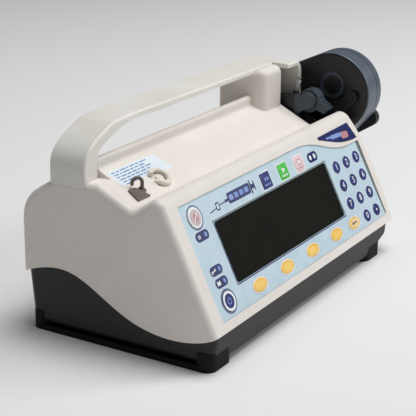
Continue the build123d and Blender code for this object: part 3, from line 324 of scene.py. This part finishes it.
# Tubing fittings: a waxy nylon, taupe for the hook and cream for the clip.
HOOK_DARK = moulded("satin_taupe_nylon", "#7A716A", "#5E564F", 0.5, 0.02, 0.45)
CLIP_CREAM = moulded("satin_cream_nylon", "#F4EFE5", "#E9E2D4", 0.5, 0.02, 0.35)

FINISHES = {
    "top_case": CASE_WHITE,
    "carry_handle": HANDLE_WHITE,
    "base_case": BASE_GREY,
    "rubber_feet": FOOT_BLACK,
    "cradle_insert": CRADLE_BLACK,
    "barrel_clamp": CLAMP_GREY,
    "flange_clip": POLISHED_STEEL,
    "driver_head": DRIVER_SHADED_FACE,
    "driver_cover": DRIVER_GREY,
    "clutch_lever": DRIVER_DARK,
    "plunger_holder_front": DRIVER_DARK,
    "plunger_holder_rear": DRIVER_DARK,
    "plunger_sensor_button": DRIVER_DARK,
    "ear_sensor_button": DRIVER_DARK,
    "power_inlet": DRIVER_DARK,
    "keypad_overlay": PANEL_BLUE,
    "keypad_backplate": SHADE_GREY,
    "display_window": WINDOW,
    "display_module": ZINC_PLATE,
    "main_board": SOLDER_MASK,
    "power_supply_board": SOLDER_MASK,
    "drive_frame": ZINC_PLATE,
    "guide_rod": GROUND_STEEL,
    "lead_screw": GROUND_STEEL,
    "drive_tube": GROUND_STEEL,
    "clamp_post": GROUND_STEEL,
    "release_rod": GROUND_STEEL,
    "clamp_spring": GROUND_STEEL,
    "screw_gear": ACETAL_CREAM,
    "half_nut": ACETAL_CREAM,
    "motor_pinion": TURNED_BRASS,
    "screw_bearings": SINTERED_BRONZE,
    "drive_carriage": CRADLE_BLACK,
    "drive_motor": MOTOR_CAN,
    "battery_pack": SHRINK_BLUE,
    "case_screws": ZINC_PLATE,
    "tubing_hook": HOOK_DARK,
    "tubing_clip": CLIP_CREAM,
    "tube_seal": FOOT_BLACK,
    "start_key": KEY_GREEN,
    "stop_key": KEY_PINK,
    "mute_key": KEY_WHITE,
    "key_enter": KEY_YELLOW,
}
DIGITS = ["0", "1", "2", "3", "4", "5", "6", "7", "8", "9"]
SOFT_KEYS = [f"soft_key_{i}" for i in range(1, 5)]
KEYS = [n for n in NODES if n.endswith("_key") or n.startswith(("key_", "soft_key_"))]
for node in KEYS:
    FINISHES.setdefault(node, KEY_YELLOW if node in SOFT_KEYS else KEY_NAVY)
for node, finish in FINISHES.items():
    NODES[node].data.materials.clear()
    NODES[node].data.materials.append(finish)

# ---------------------------------------------------------------- making pieces by hand


def start():
    """Leaves edit mode and selects nothing, so that the next operator acts on its own piece alone."""
    if bpy.context.object and bpy.context.object.mode != "OBJECT":
        bpy.ops.object.mode_set(mode="OBJECT")
    bpy.ops.object.select_all(action="DESELECT")


def finish_piece(name, material, body, place):
    """Names the active piece, puts its place in its mesh, and gives it a finish and a body to ride on."""
    piece = bpy.context.object
    if piece.mode != "OBJECT":
        bpy.ops.object.mode_set(mode="OBJECT")
    piece.matrix_world = place
    bpy.ops.object.transform_apply(location=True, rotation=True, scale=True)
    piece.name = name
    piece.data.name = name
    piece.data.materials.clear()
    piece.data.materials.append(material)
    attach(piece, body)
    return piece


def raise_sheet(thickness):
    """In edit mode: the selected flat faces are extruded into a slab that stands on the plane z = 0."""
    bpy.ops.mesh.select_all(action="SELECT")
    bpy.ops.mesh.extrude_region_move(TRANSFORM_OT_translate={"value": (0, 0, thickness)})
    bpy.ops.mesh.select_all(action="SELECT")
    bpy.ops.mesh.normals_make_consistent(inside=False)
    bpy.ops.object.mode_set(mode="OBJECT")


def bar(name, wide, high, thickness, corner, material, body, place):
    """Printed or raised bar with rounded corners."""
    start()
    bpy.ops.mesh.primitive_plane_add(size=1)
    bpy.context.object.scale = (wide, high, 1)
    bpy.ops.object.transform_apply(scale=True)
    bpy.ops.object.mode_set(mode="EDIT")
    bpy.ops.mesh.select_all(action="SELECT")
    if corner:
        bpy.ops.mesh.bevel(offset=corner, segments=6, affect="VERTICES")
    raise_sheet(thickness)
    return finish_piece(name, material, body, place)


def disc(name, wide, high, thickness, material, body, place, hole=0.0, sides=48):
    """Printed oval; hole is the share of it left open in the middle, which makes it a ring."""
    start()
    bpy.ops.mesh.primitive_circle_add(vertices=sides, radius=0.5, fill_type="NGON")
    bpy.context.object.scale = (wide, high, 1)
    bpy.ops.object.transform_apply(scale=True)
    bpy.ops.object.mode_set(mode="EDIT")
    bpy.ops.mesh.select_all(action="SELECT")
    if hole:
        bpy.ops.mesh.inset(thickness=min(wide, high) / 2 * (1 - hole))
        bpy.ops.mesh.delete(type="FACE")
    raise_sheet(thickness)
    return finish_piece(name, material, body, place)


def outline_piece(name, corners, thickness, material, body, place, rounding=0.0):
    """Flat piece whose outline is a circle's points moved to the given corners."""
    start()
    bpy.ops.mesh.primitive_circle_add(vertices=len(corners), radius=1, fill_type="NGON")
    bpy.ops.object.mode_set(mode="EDIT")
    bpy.ops.object.mode_set(mode="OBJECT")
    for vertex, corner in zip(bpy.context.object.data.vertices, corners):
        vertex.co = (corner[0], corner[1], 0)
    bpy.ops.object.mode_set(mode="EDIT")
    bpy.ops.mesh.select_all(action="SELECT")
    if rounding:
        bpy.ops.mesh.bevel(offset=rounding, segments=5, affect="VERTICES")
    raise_sheet(thickness)
    return finish_piece(name, material, body, place)


def glyph(name, text, size, thickness, material, body, place):
    """A printed character."""
    start()
    bpy.ops.object.text_add()
    words = bpy.context.object
    words.data.body = text
    words.data.size = size
    words.data.align_x = "CENTER"
    words.data.align_y = "CENTER"
    words.data.extrude = thickness / 2
    words.data.offset = size * 0.012
    bpy.ops.object.convert(target="MESH")
    return finish_piece(name, material, body, place)


# ---------------------------------------------------------------- the printed keypad


def film(x, up):
    """Place on the film, from its lower left corner, in millimetres."""
    return FILM_LEFT + x * MM, FILM_LOW + up * MM


def print_on_film(x, up, layer=0, turn=0.0):
    """Matrix for ink on the film; higher layers lie on lower ones."""
    px, pu = film(x, up)
    return on_face(px, pu, FILM_OUT + INK * layer, turn)


def ink_bar(name, x, up, wide, high, ink, layer=0, corner=0.0, turn=0.0):
    """Bar of ink on the film, in millimetres from its lower left corner."""
    place = print_on_film(x, up, layer, turn)
    return bar(name, wide * MM, high * MM, INK, corner * MM, ink, "case", place)


def ink_disc(name, x, up, wide, high, ink, layer=0, hole=0.0):
    """Disc or ring of ink on the film."""
    return disc(name, wide * MM, high * MM, INK, ink, "case", print_on_film(x, up, layer), hole)


def ink_stroke(name, start_point, end_point, thick, ink, layer=0):
    """Straight stroke of ink on the film between two points."""
    run, rise = end_point[0] - start_point[0], end_point[1] - start_point[1]
    middle_x = (start_point[0] + end_point[0]) / 2
    middle_up = (start_point[1] + end_point[1]) / 2
    corner = thick * 0.45
    return ink_bar(name, middle_x, middle_up, hypot(run, rise), thick, ink, layer, corner, atan2(rise, run))


def key_size(node):
    """Width and height of a key on the face."""
    low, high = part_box(node)
    ups = [UP_FACE.dot(v.co) for v in NODES[node].data.vertices]
    return high[0] - low[0], max(ups) - min(ups)


def key_film(node):
    """(x, up) of a key's centre on the film, in millimetres."""
    x, up = key_spot(node)
    return (x - FILM_LEFT) / MM, (up - FILM_LOW) / MM


COMMAND_KEYS = ["bolus_key", "start_key", "stop_key"]
ROUND_KEYS = ["mute_key", "power_key"]


def ring_gap(outer, gap):
    """Share of a ring's height that is left open."""
    return (outer - gap) / outer


def key_rim(node):
    """Print around a key: a square of its own colour, a navy ring, a white rim or a pale halo."""
    x, up = key_film(node)
    wide, tall = (size / MM for size in key_size(node))
    if node in COMMAND_KEYS:
        corner = 3.4 if node == "stop_key" else 0.9
        ink_bar(f"{node}_rim", x, up, wide + 1.8, tall + 1.8, INK_WHITE, 0, corner)
        ink_bar(f"{node}_ground", x, up, wide + 0.5, tall + 0.5, FINISHES[node], 1, corner)
    elif node in ROUND_KEYS:
        ink_disc(f"{node}_rim", x, up, wide + 2.4, tall + 2.4, INK_NAVY, 0, ring_gap(tall + 2.4, 1.4))
    elif node in SOFT_KEYS + ["key_enter"]:
        ink_disc(f"{node}_outline", x, up, wide + 2.6, tall + 2.6, INK_SKY, 0, ring_gap(tall + 2.6, 0.8))
        ink_disc(f"{node}_rim", x, up, wide + 2.0, tall + 2.0, INK_WHITE, 1, ring_gap(tall + 2.0, 1.7))
    else:
        ink_disc(f"{node}_halo", x, up, wide + 1.8, tall + 1.8, INK_PALE, 0, ring_gap(tall + 1.8, 1.5))


for node in KEYS:
    key_rim(node)


def on_cap(node, x=0.0, up=0.0, layer=0, turn=0.0):
    """Matrix for ink on a key's cap, in millimetres from the cap's centre."""
    key_x, key_up = key_spot(node)
    return on_face(key_x + x * MM, key_up + up * MM, KEY_OUT + INK * layer, turn)


def cap_disc(name, node, wide, high, ink, layer=0, hole=0.0, up=0.0):
    """Disc or ring printed on a key's cap."""
    place = on_cap(node, 0.0, up, layer)
    return disc(name, wide * MM, high * MM, INK, ink, f"{node}_cap", place, hole)


def cap_bar(name, node, wide, high, ink, layer=0, x=0.0, up=0.0, corner=0.0, turn=0.0):
    """Bar printed on a key's cap."""
    place = on_cap(node, x, up, layer, turn)
    return bar(name, wide * MM, high * MM, INK, corner * MM, ink, f"{node}_cap", place)


def cap_shape(name, node, corners, ink, layer=0):
    """Straight-sided shape printed on a key's cap."""
    points = [(a * MM, b * MM) for a, b in corners]
    place = on_cap(node, layer=layer)
    return outline_piece(name, points, INK, ink, f"{node}_cap", place)


def cap_marks(name, node, count, high, ink, up):
    """A centred row of short marks under a command key's sign."""
    pitch, wide = 2.1, 1.5
    first = {3: -2.1, 4: -3.2}[count]
    for i in range(count):
        cap_bar(f"{name}_{i + 1}", node, wide, high, ink, 0, first + pitch * i, up)


def numerals():
    """Numerals and the point on the finger keys."""
    for digit in DIGITS:
        body = f"key_{digit}_cap"
        place = on_cap(f"key_{digit}")
        glyph(f"numeral_{digit}", digit, 6.4 * MM, INK * 2, INK_WHITE, body, place)
    cap_disc("numeral_point", "key_point", 1.8, 1.8, INK_WHITE)


def enter_sign():
    """Return arrow on a cream oval."""
    cap_disc("enter_glow", "key_enter", 14.0, 6.0, INK_CREAM)
    cap_bar("enter_arrow_shaft", "key_enter", 6.0, 1.0, INK_BROWN, 1, 0.6)
    cap_shape("enter_arrow_head", "key_enter", [(-4.2, 0), (-1.6, 1.6), (-1.6, -1.6)], INK_BROWN, 1)


def power_sign():
    """Ring with a bar at its top, in a wide white ring."""
    cap_disc("power_white_ring", "power_key", 13.2, 13.0, INK_WHITE, 0, 0.74)
    cap_disc("power_symbol_ring", "power_key", 4.6, 4.6, INK_SKY, 0, 0.72)
    cap_bar("power_symbol_gap", "power_key", 1.8, 1.8, INK_NAVY, 1, 0.0, 2.0)
    cap_bar("power_symbol_bar", "power_key", 0.7, 2.6, INK_SKY, 2, 0.0, 1.6)


def silence_sign():
    """Bell with a stroke across it."""
    bell = [(-3, -2), (-2, -0.8), (-1.6, 1.6), (0, 2.8), (1.6, 1.6), (2, -0.8), (3, -2)]
    cap_disc("silence_blush", "mute_key", 10.8, 10.6, INK_BLUSH)
    cap_shape("silence_bell", "mute_key", bell, INK_ROSE, 1)
    cap_disc("silence_clapper", "mute_key", 1.6, 1.2, INK_ROSE, 1, 0.0, -2.9)
    cap_bar("silence_stroke", "mute_key", 8.4, 0.8, INK_WHITE, 2, turn=radians(45))


def bolus_sign():
    """Two triangles over a row of marks: faster delivery."""
    for i, x in enumerate((-1.9, 1.3)):
        arrow = [(x, 2.6), (x, -0.8), (x + 2.8, 0.9)]
        cap_shape(f"bolus_arrow_{i + 1}", "bolus_key", arrow, INK_SKY)
    cap_marks("bolus_mark", "bolus_key", 4, 1.1, INK_SKY, -3.0)


def start_sign():
    """One triangle over a row of marks."""
    cap_shape("start_arrow", "start_key", [(-1.6, 3.0), (-1.6, -1.0), (2.2, 1.0)], INK_WHITE)
    cap_marks("start_mark", "start_key", 4, 1.1, INK_WHITE, -3.0)


def stop_sign():
    """Open square over a row of marks."""
    cap_bar("stop_square", "stop_key", 4.4, 4.4, INK_ROSE, 0, 0.0, 1.0, 0.4)
    cap_bar("stop_square_middle", "stop_key", 3.0, 3.0, INK_WHITE, 1, 0.0, 1.0, 0.3)
    cap_marks("stop_mark", "stop_key", 3, 1.0, INK_ROSE, -3.2)


numerals()
enter_sign()
for node in SOFT_KEYS:
    cap_disc(f"{node}_glow", node, 12.0, 5.0, INK_AMBER)
power_sign()
silence_sign()
bolus_sign()
start_sign()
stop_sign()

# ---------------------------------------------------------------- indicator lamps and diagram
PILL_HIGH = 6.4
# lamp: middle from the left, middle up, length
PILLS = {"mains": (14.6, 54.2, 15.0), "service": (14.6, 31.0, 14.0), "battery": (15.2, 22.8, 14.0)}
RUNNING_LAMP = (175.6, 65.9)


def pill(name, x, up, wide):
    """Navy pill in a pale edge, with a lens at its right."""
    edge = 0.8
    end = 0.48  # rounding as a share of the height, just short of a half circle
    edge_high = PILL_HIGH + edge
    ink_bar(f"{name}_edge", x, up, wide + edge, edge_high, INK_PALE, 0, edge_high * end)
    ink_bar(f"{name}_pill", x, up, wide, PILL_HIGH, INK_NAVY, 1, PILL_HIGH * end)
    ink_disc(f"{name}_lens", x + wide * 0.26, up, 2.6, 3.2, INK_SKY, 2)


def mains_sign(x, up):
    """Plug with its cord."""
    ink_disc("mains_lamp_plug", x - 3.6, up, 2.6, 3.0, INK_WHITE, 2)
    ink_bar("mains_lamp_plug_cord", x - 3.6, up, 0.7, 5.0, INK_NAVY, 3)


def service_sign(x, up):
    """Spanner."""
    ink_stroke("service_lamp_spanner", (x - 4.8, up - 0.4), (x - 1.4, up + 0.4), 0.8, INK_WHITE, 2)
    ink_disc("service_lamp_jaw", x - 4.9, up - 0.5, 2.0, 2.0, INK_WHITE, 2, 0.45)
    ink_disc("service_lamp_ring", x - 1.2, up + 0.5, 1.8, 1.8, INK_WHITE, 2, 0.45)


def battery_sign(x, up):
    """Battery with two terminals."""
    cell = x - 3.2
    ink_bar("battery_lamp_cell", cell, up - 0.2, 3.8, 2.2, INK_WHITE, 2)
    for side, shift in (("left", -1.2), ("right", 1.2)):
        ink_bar(f"battery_lamp_terminal_{side}", cell + shift, up + 1.2, 0.9, 0.7, INK_WHITE, 2)


def running_lamp(x, up):
    """Navy pill with a white lens for running and a pale one for standby."""
    ink_bar("running_lamp_edge", x, up, 14.6, 7.2, INK_NAVY, 0, 3.4)
    ink_bar("running_lamp_ground", x, up, 13.6, 6.2, BADGE_NAVY, 1, 2.9)
    ink_bar("running_lamp_lens", x - 3.2, up, 2.8, 3.4, INK_WHITE, 2, 1.0)
    ink_bar("standby_lamp_lens", x + 3.0, up, 3.4, 3.8, INK_PALE, 2, 1.4)


def syringe_diagram():
    """Line drawing of tubing, filter, nozzle, barrel with its divisions, and plunger."""
    barrel_up = 67.3
    ink_stroke("diagram_tubing", (31.5, 64.2), (41.0, 65.4), 0.7, INK_NAVY)
    ink_bar("diagram_filter", 42.2, 66.0, 4.2, 5.4, INK_NAVY, 0, 0.6)
    ink_bar("diagram_filter_middle", 42.2, 66.0, 2.4, 3.6, INK_PALE, 1, 0.4)
    ink_stroke("diagram_line", (44.2, 66.2), (52.0, 66.6), 0.7, INK_NAVY)
    ink_bar("diagram_nozzle", 54.0, 66.8, 4.6, 1.8, INK_NAVY)
    ink_bar("diagram_barrel", 70.3, barrel_up, 29.0, 7.4, INK_NAVY, 0, 1.6)
    for i in range(4):
        ink_bar(f"diagram_division_{i + 1}", 60.0 + 6.6 * i, barrel_up, 4.8, 3.6, INK_SKY, 1, 0.6)
    ink_bar("diagram_flange", 86.0, barrel_up, 1.4, 9.6, INK_NAVY)
    ink_bar("diagram_plunger", 88.4, barrel_up, 4.4, 3.0, INK_NAVY)
    ink_bar("diagram_thumb_rest", 90.6, barrel_up, 1.2, 6.6, INK_NAVY)


def display_border():
    """Fine border round the display: navy print at its lower and left edges, painted shade in slate at its
    upper and right edges.
    """
    gap = line = 0.8
    low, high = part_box("display_window")
    ups = [UP_FACE.dot(v.co) for v in NODES["display_window"].data.vertices]
    wide = (high[0] - low[0]) / MM
    tall = (max(ups) - min(ups)) / MM
    x = ((low[0] + high[0]) / 2 - FILM_LEFT) / MM
    up = ((max(ups) + min(ups)) / 2 - FILM_LOW) / MM
    for side, row, column, shade in ((-1, "low", "left", INK_NAVY), (1, "high", "right", PAINTED_SHADE_SLATE)):
        row_up = up + side * (tall / 2 + gap)
        ink_bar(f"display_border_{row}", x, row_up, wide + 3 * line, line, shade)
        column_x = x + side * (wide / 2 + gap)
        ink_bar(f"display_border_{column}", column_x, up, line, tall + line, shade)


def film_edge_painted_shade():
    """Painted shade down the film's right edge, where the recess's side wall falls in shadow."""
    corners = [(244.2, 60.9), (247.6, 60.9), (247.7, 34.0), (247.6, 2.0), (247.0, 2.0), (245.6, 34.0)]
    points = [(a * MM, b * MM) for a, b in corners]
    place = print_on_film(0, 0)
    outline_piece("film_edge_painted_shade", points, INK, PAINTED_SHADE_SLATE, "case", place)


for lamp, (x, up, wide) in PILLS.items():
    pill(f"{lamp}_lamp", x, up, wide)
mains_sign(*PILLS["mains"][:2])
service_sign(*PILLS["service"][:2])
battery_sign(*PILLS["battery"][:2])
running_lamp(*RUNNING_LAMP)
syringe_diagram()
display_border()
film_edge_painted_shade()

# ---------------------------------------------------------------- blank badge above the keypad
# Its lower edge follows the step of the panel.
BADGE = [(191.8, 76.5), (240.6, 76.9), (247.0, 63.8), (240.0, 63.6), (231.0, 64.4)]
BADGE += [(222.0, 65.7), (213.0, 68.0), (204.0, 70.8), (196.0, 73.4), (192.0, 74.4)]
BADGE_MIDDLE = (222.0, 71.0)
# middle from the left, middle up, length, height, ink
FLASHES = [
    (209.0, 72.6, 14.0, 1.5, INK_SKY),
    (219.0, 71.6, 20.0, 3.2, INK_SKY),
    (230.5, 69.6, 11.0, 5.2, INK_ROSE),
]


def on_case_face(x, up, layer=0, turn=0.0):
    """Matrix for a plate on the case beside the panel, in millimetres from the film's lower left corner."""
    return on_face(*film(x, up), CASE_OUT + INK * layer, turn)


def badge_layer(name, grow, thickness, ink, layer):
    """The badge's outline, grown about its middle, as a flat plate."""
    grown = [tuple(m + grow * (c - m) for c, m in zip(corner, BADGE_MIDDLE)) for corner in BADGE]
    points = [(a * MM, b * MM) for a, b in grown]
    outline_piece(name, points, thickness, ink, "case", on_case_face(0, 0, layer))


# The slate rim round the plate is painted shade at the badge's edge.
badge_layer("badge_painted_shade_rim", 1.035, INK, PAINTED_SHADE_SLATE, 0)
badge_layer("badge_plate", 1.0, 4 * INK, BADGE_NAVY, 1)
for i, (x, up, wide, high, ink) in enumerate(FLASHES):
    place = on_case_face(x, up, 5 + i, radians(-4))
    corner = 0.4 * high * MM
    bar(f"badge_flash_{i + 1}", wide * MM, high * MM, INK, corner, ink, "case", place)

# ---------------------------------------------------------------- label on the channel's rear slope
LABEL = [(17.2, 20.2), (18.6, 35.0), (71.4, 34.2), (73.6, 18.4)]
# lengths of the marks in each row of the label, in millimetres
LABEL_ROWS = [
    (4, 3, 6, 2, 5, 4, 7),
    (5, 2, 7, 4, 3, 6),
    (3, 6, 4, 5, 2, 4, 6),
    (6, 4, 3, 5, 6, 3),
    (4, 5, 3, 6, 2, 5),
    (7, 3),
]


def slope_label():
    """Pale label with rows of marks; it holds no lettering."""
    points = [(a * MM, b * MM) for a, b in LABEL]
    outline_piece("slope_label", points, INK, LABEL_FILM, "case", on_slope(0, 0))
    first_row, row_pitch, mark_high, word_gap = 32.6, 2.4, 0.9, 1.3
    for row, marks in enumerate(LABEL_ROWS):
        reach = 21.0 + 0.3 * row
        for i, long in enumerate(marks):
            name = f"slope_label_mark_{row + 1}_{i + 1}"
            place = on_slope(reach + long / 2, first_row - row_pitch * row, 1)
            bar(name, long * MM, mark_high * MM, INK, 0, INK_TEXT, "case", place)
            reach += long + word_gap


slope_label()

# ---------------------------------------------------------------- small metalwork


def rivet(name, radius, rise, material, body, place):
    """Domed rivet or screw head with a hollow in its middle, standing on the plane z = 0."""
    start()
    bpy.ops.mesh.primitive_circle_add(vertices=32, radius=radius, fill_type="NGON")
    bpy.ops.object.mode_set(mode="EDIT")
    bpy.ops.mesh.select_all(action="SELECT")
    bpy.ops.mesh.extrude_region_move(TRANSFORM_OT_translate={"value": (0, 0, rise * 0.6)})
    bpy.ops.mesh.inset(thickness=radius * 0.22)
    bpy.ops.transform.translate(value=(0, 0, rise * 0.4))
    bpy.ops.mesh.inset(thickness=radius * 0.33)
    bpy.ops.mesh.inset(thickness=radius * 0.06)
    bpy.ops.transform.translate(value=(0, 0, -rise * 0.5))
    bpy.ops.mesh.select_all(action="SELECT")
    bpy.ops.mesh.normals_make_consistent(inside=False)
    bpy.ops.object.mode_set(mode="OBJECT")
    return finish_piece(name, material, body, place)


def end_on(x, y, z, towards):
    """Matrix that stands a piece on an end-on plane, facing along X (1) or against it (-1)."""
    turn = Matrix.Rotation(radians(90 * towards), 4, "Y")
    return Matrix.Translation(Vector((x, y, z))) @ turn


HOLDER_OUT = 4.4 * MM  # how far the plunger holders stand out from the driver's face
# share of the driver cover's width and height at which its screws sit
COVER_SCREWS = [(0.3, 0.86), (0.78, 0.74), (0.62, 0.12)]

for side in ("front", "rear"):
    pin = joint(f"{side}_holder_open")["pos_m"]
    place = end_on(HEAD_FACE - HOLDER_OUT, pin[1], pin[2], -1)
    body = f"holder_{side}"
    rivet(f"{side}_holder_rivet", 1.9 * MM, 0.8 * MM, POLISHED_STEEL, body, place)

cover_low, cover_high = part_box("driver_cover")
for i, (back, up) in enumerate(COVER_SCREWS):
    y = cover_low[1] + back * (cover_high[1] - cover_low[1])
    z = cover_low[2] + up * (cover_high[2] - cover_low[2])
    place = end_on(cover_high[0], y, z, 1)
    rivet(f"cover_screw_{i + 1}", 2.6 * MM, 0.9 * MM, ZINC_PLATE, "driver", place)


# ---------------------------------------------------------------- studio and camera
AIR_LIGHT = 0.13
# name, place in metres, width in metres, watts
LAMPS = [
    ("overhead_lamp", (0.25, -0.35, 2.0), 1.2, 30.0),
    ("side_lamp", (1.4, -1.5, 1.1), 0.8, 14.0),
]


def studio():
    """Pale floor under one large soft lamp overhead, a weaker one from the right, and a little air light."""
    start()
    bpy.ops.mesh.primitive_plane_add(size=14)
    floor = bpy.context.object
    floor.name = "studio_floor"
    paint, shader, coords = surface("matt_pale_paper", Roughness=0.95)
    shader.inputs["Base Color"].default_value = srgb("#F2F2F2")
    shader.inputs["Specular IOR Level"].default_value = 0.1
    floor.data.materials.append(paint)
    air = bpy.data.worlds.new("studio_air")
    air.use_nodes = True
    tree = air.node_tree
    tree.nodes["Background"].inputs["Color"].default_value = srgb("#FFFFFF")
    tree.nodes["Background"].inputs["Strength"].default_value = AIR_LIGHT
    backdrop = tree.nodes.new("ShaderNodeBackground")
    backdrop.inputs["Strength"].default_value = 1.0
    backdrop.inputs["Color"].default_value = srgb("#FFFFFF")
    ray = tree.nodes.new("ShaderNodeLightPath")
    choose = tree.nodes.new("ShaderNodeMixShader")
    tree.links.new(ray.outputs["Is Camera Ray"], choose.inputs["Fac"])
    tree.links.new(tree.nodes["Background"].outputs["Background"], choose.inputs[1])
    tree.links.new(backdrop.outputs["Background"], choose.inputs[2])
    tree.links.new(choose.outputs["Shader"], tree.nodes["World Output"].inputs["Surface"])
    bpy.context.scene.world = air
    for name, place, size, power in LAMPS:
        bpy.ops.object.light_add(type="AREA", location=place)
        lamp = bpy.context.object
        lamp.name = name
        lamp.data.size = size
        lamp.data.energy = power
        lamp.rotation_euler = (Vector((0, 0, 0.08)) - Vector(place)).to_track_quat("-Z", "Y").to_euler()


def set_camera():
    """Camera a little above, looking along the pump from its front left corner."""
    heading, pitch, roll = radians(30.94), radians(18.66), radians(0.49)
    ahead = Vector((cos(heading), sin(heading), 0))
    side = Vector((sin(heading), -cos(heading), 0))
    forward = ahead * cos(pitch) - Vector((0, 0, sin(pitch)))
    upward = ahead * sin(pitch) + Vector((0, 0, cos(pitch)))
    right = side * cos(roll) + upward * sin(roll)
    top = upward * cos(roll) - side * sin(roll)
    start()
    bpy.ops.object.camera_add()
    camera = bpy.context.object
    turn = Matrix((right, top, -forward)).transposed().to_4x4()
    corner = Vector((LEFT, CASE_HIGH.y - 148 * MM, 0))
    camera.matrix_world = Matrix.Translation(corner + Vector((-620.81, -366.03, 353.17)) * MM) @ turn
    camera.data.lens = 112.37
    camera.data.sensor_width = 36.0
    bpy.context.scene.camera = camera


studio()
set_camera()
bpy.context.scene.view_settings.view_transform = "Standard"
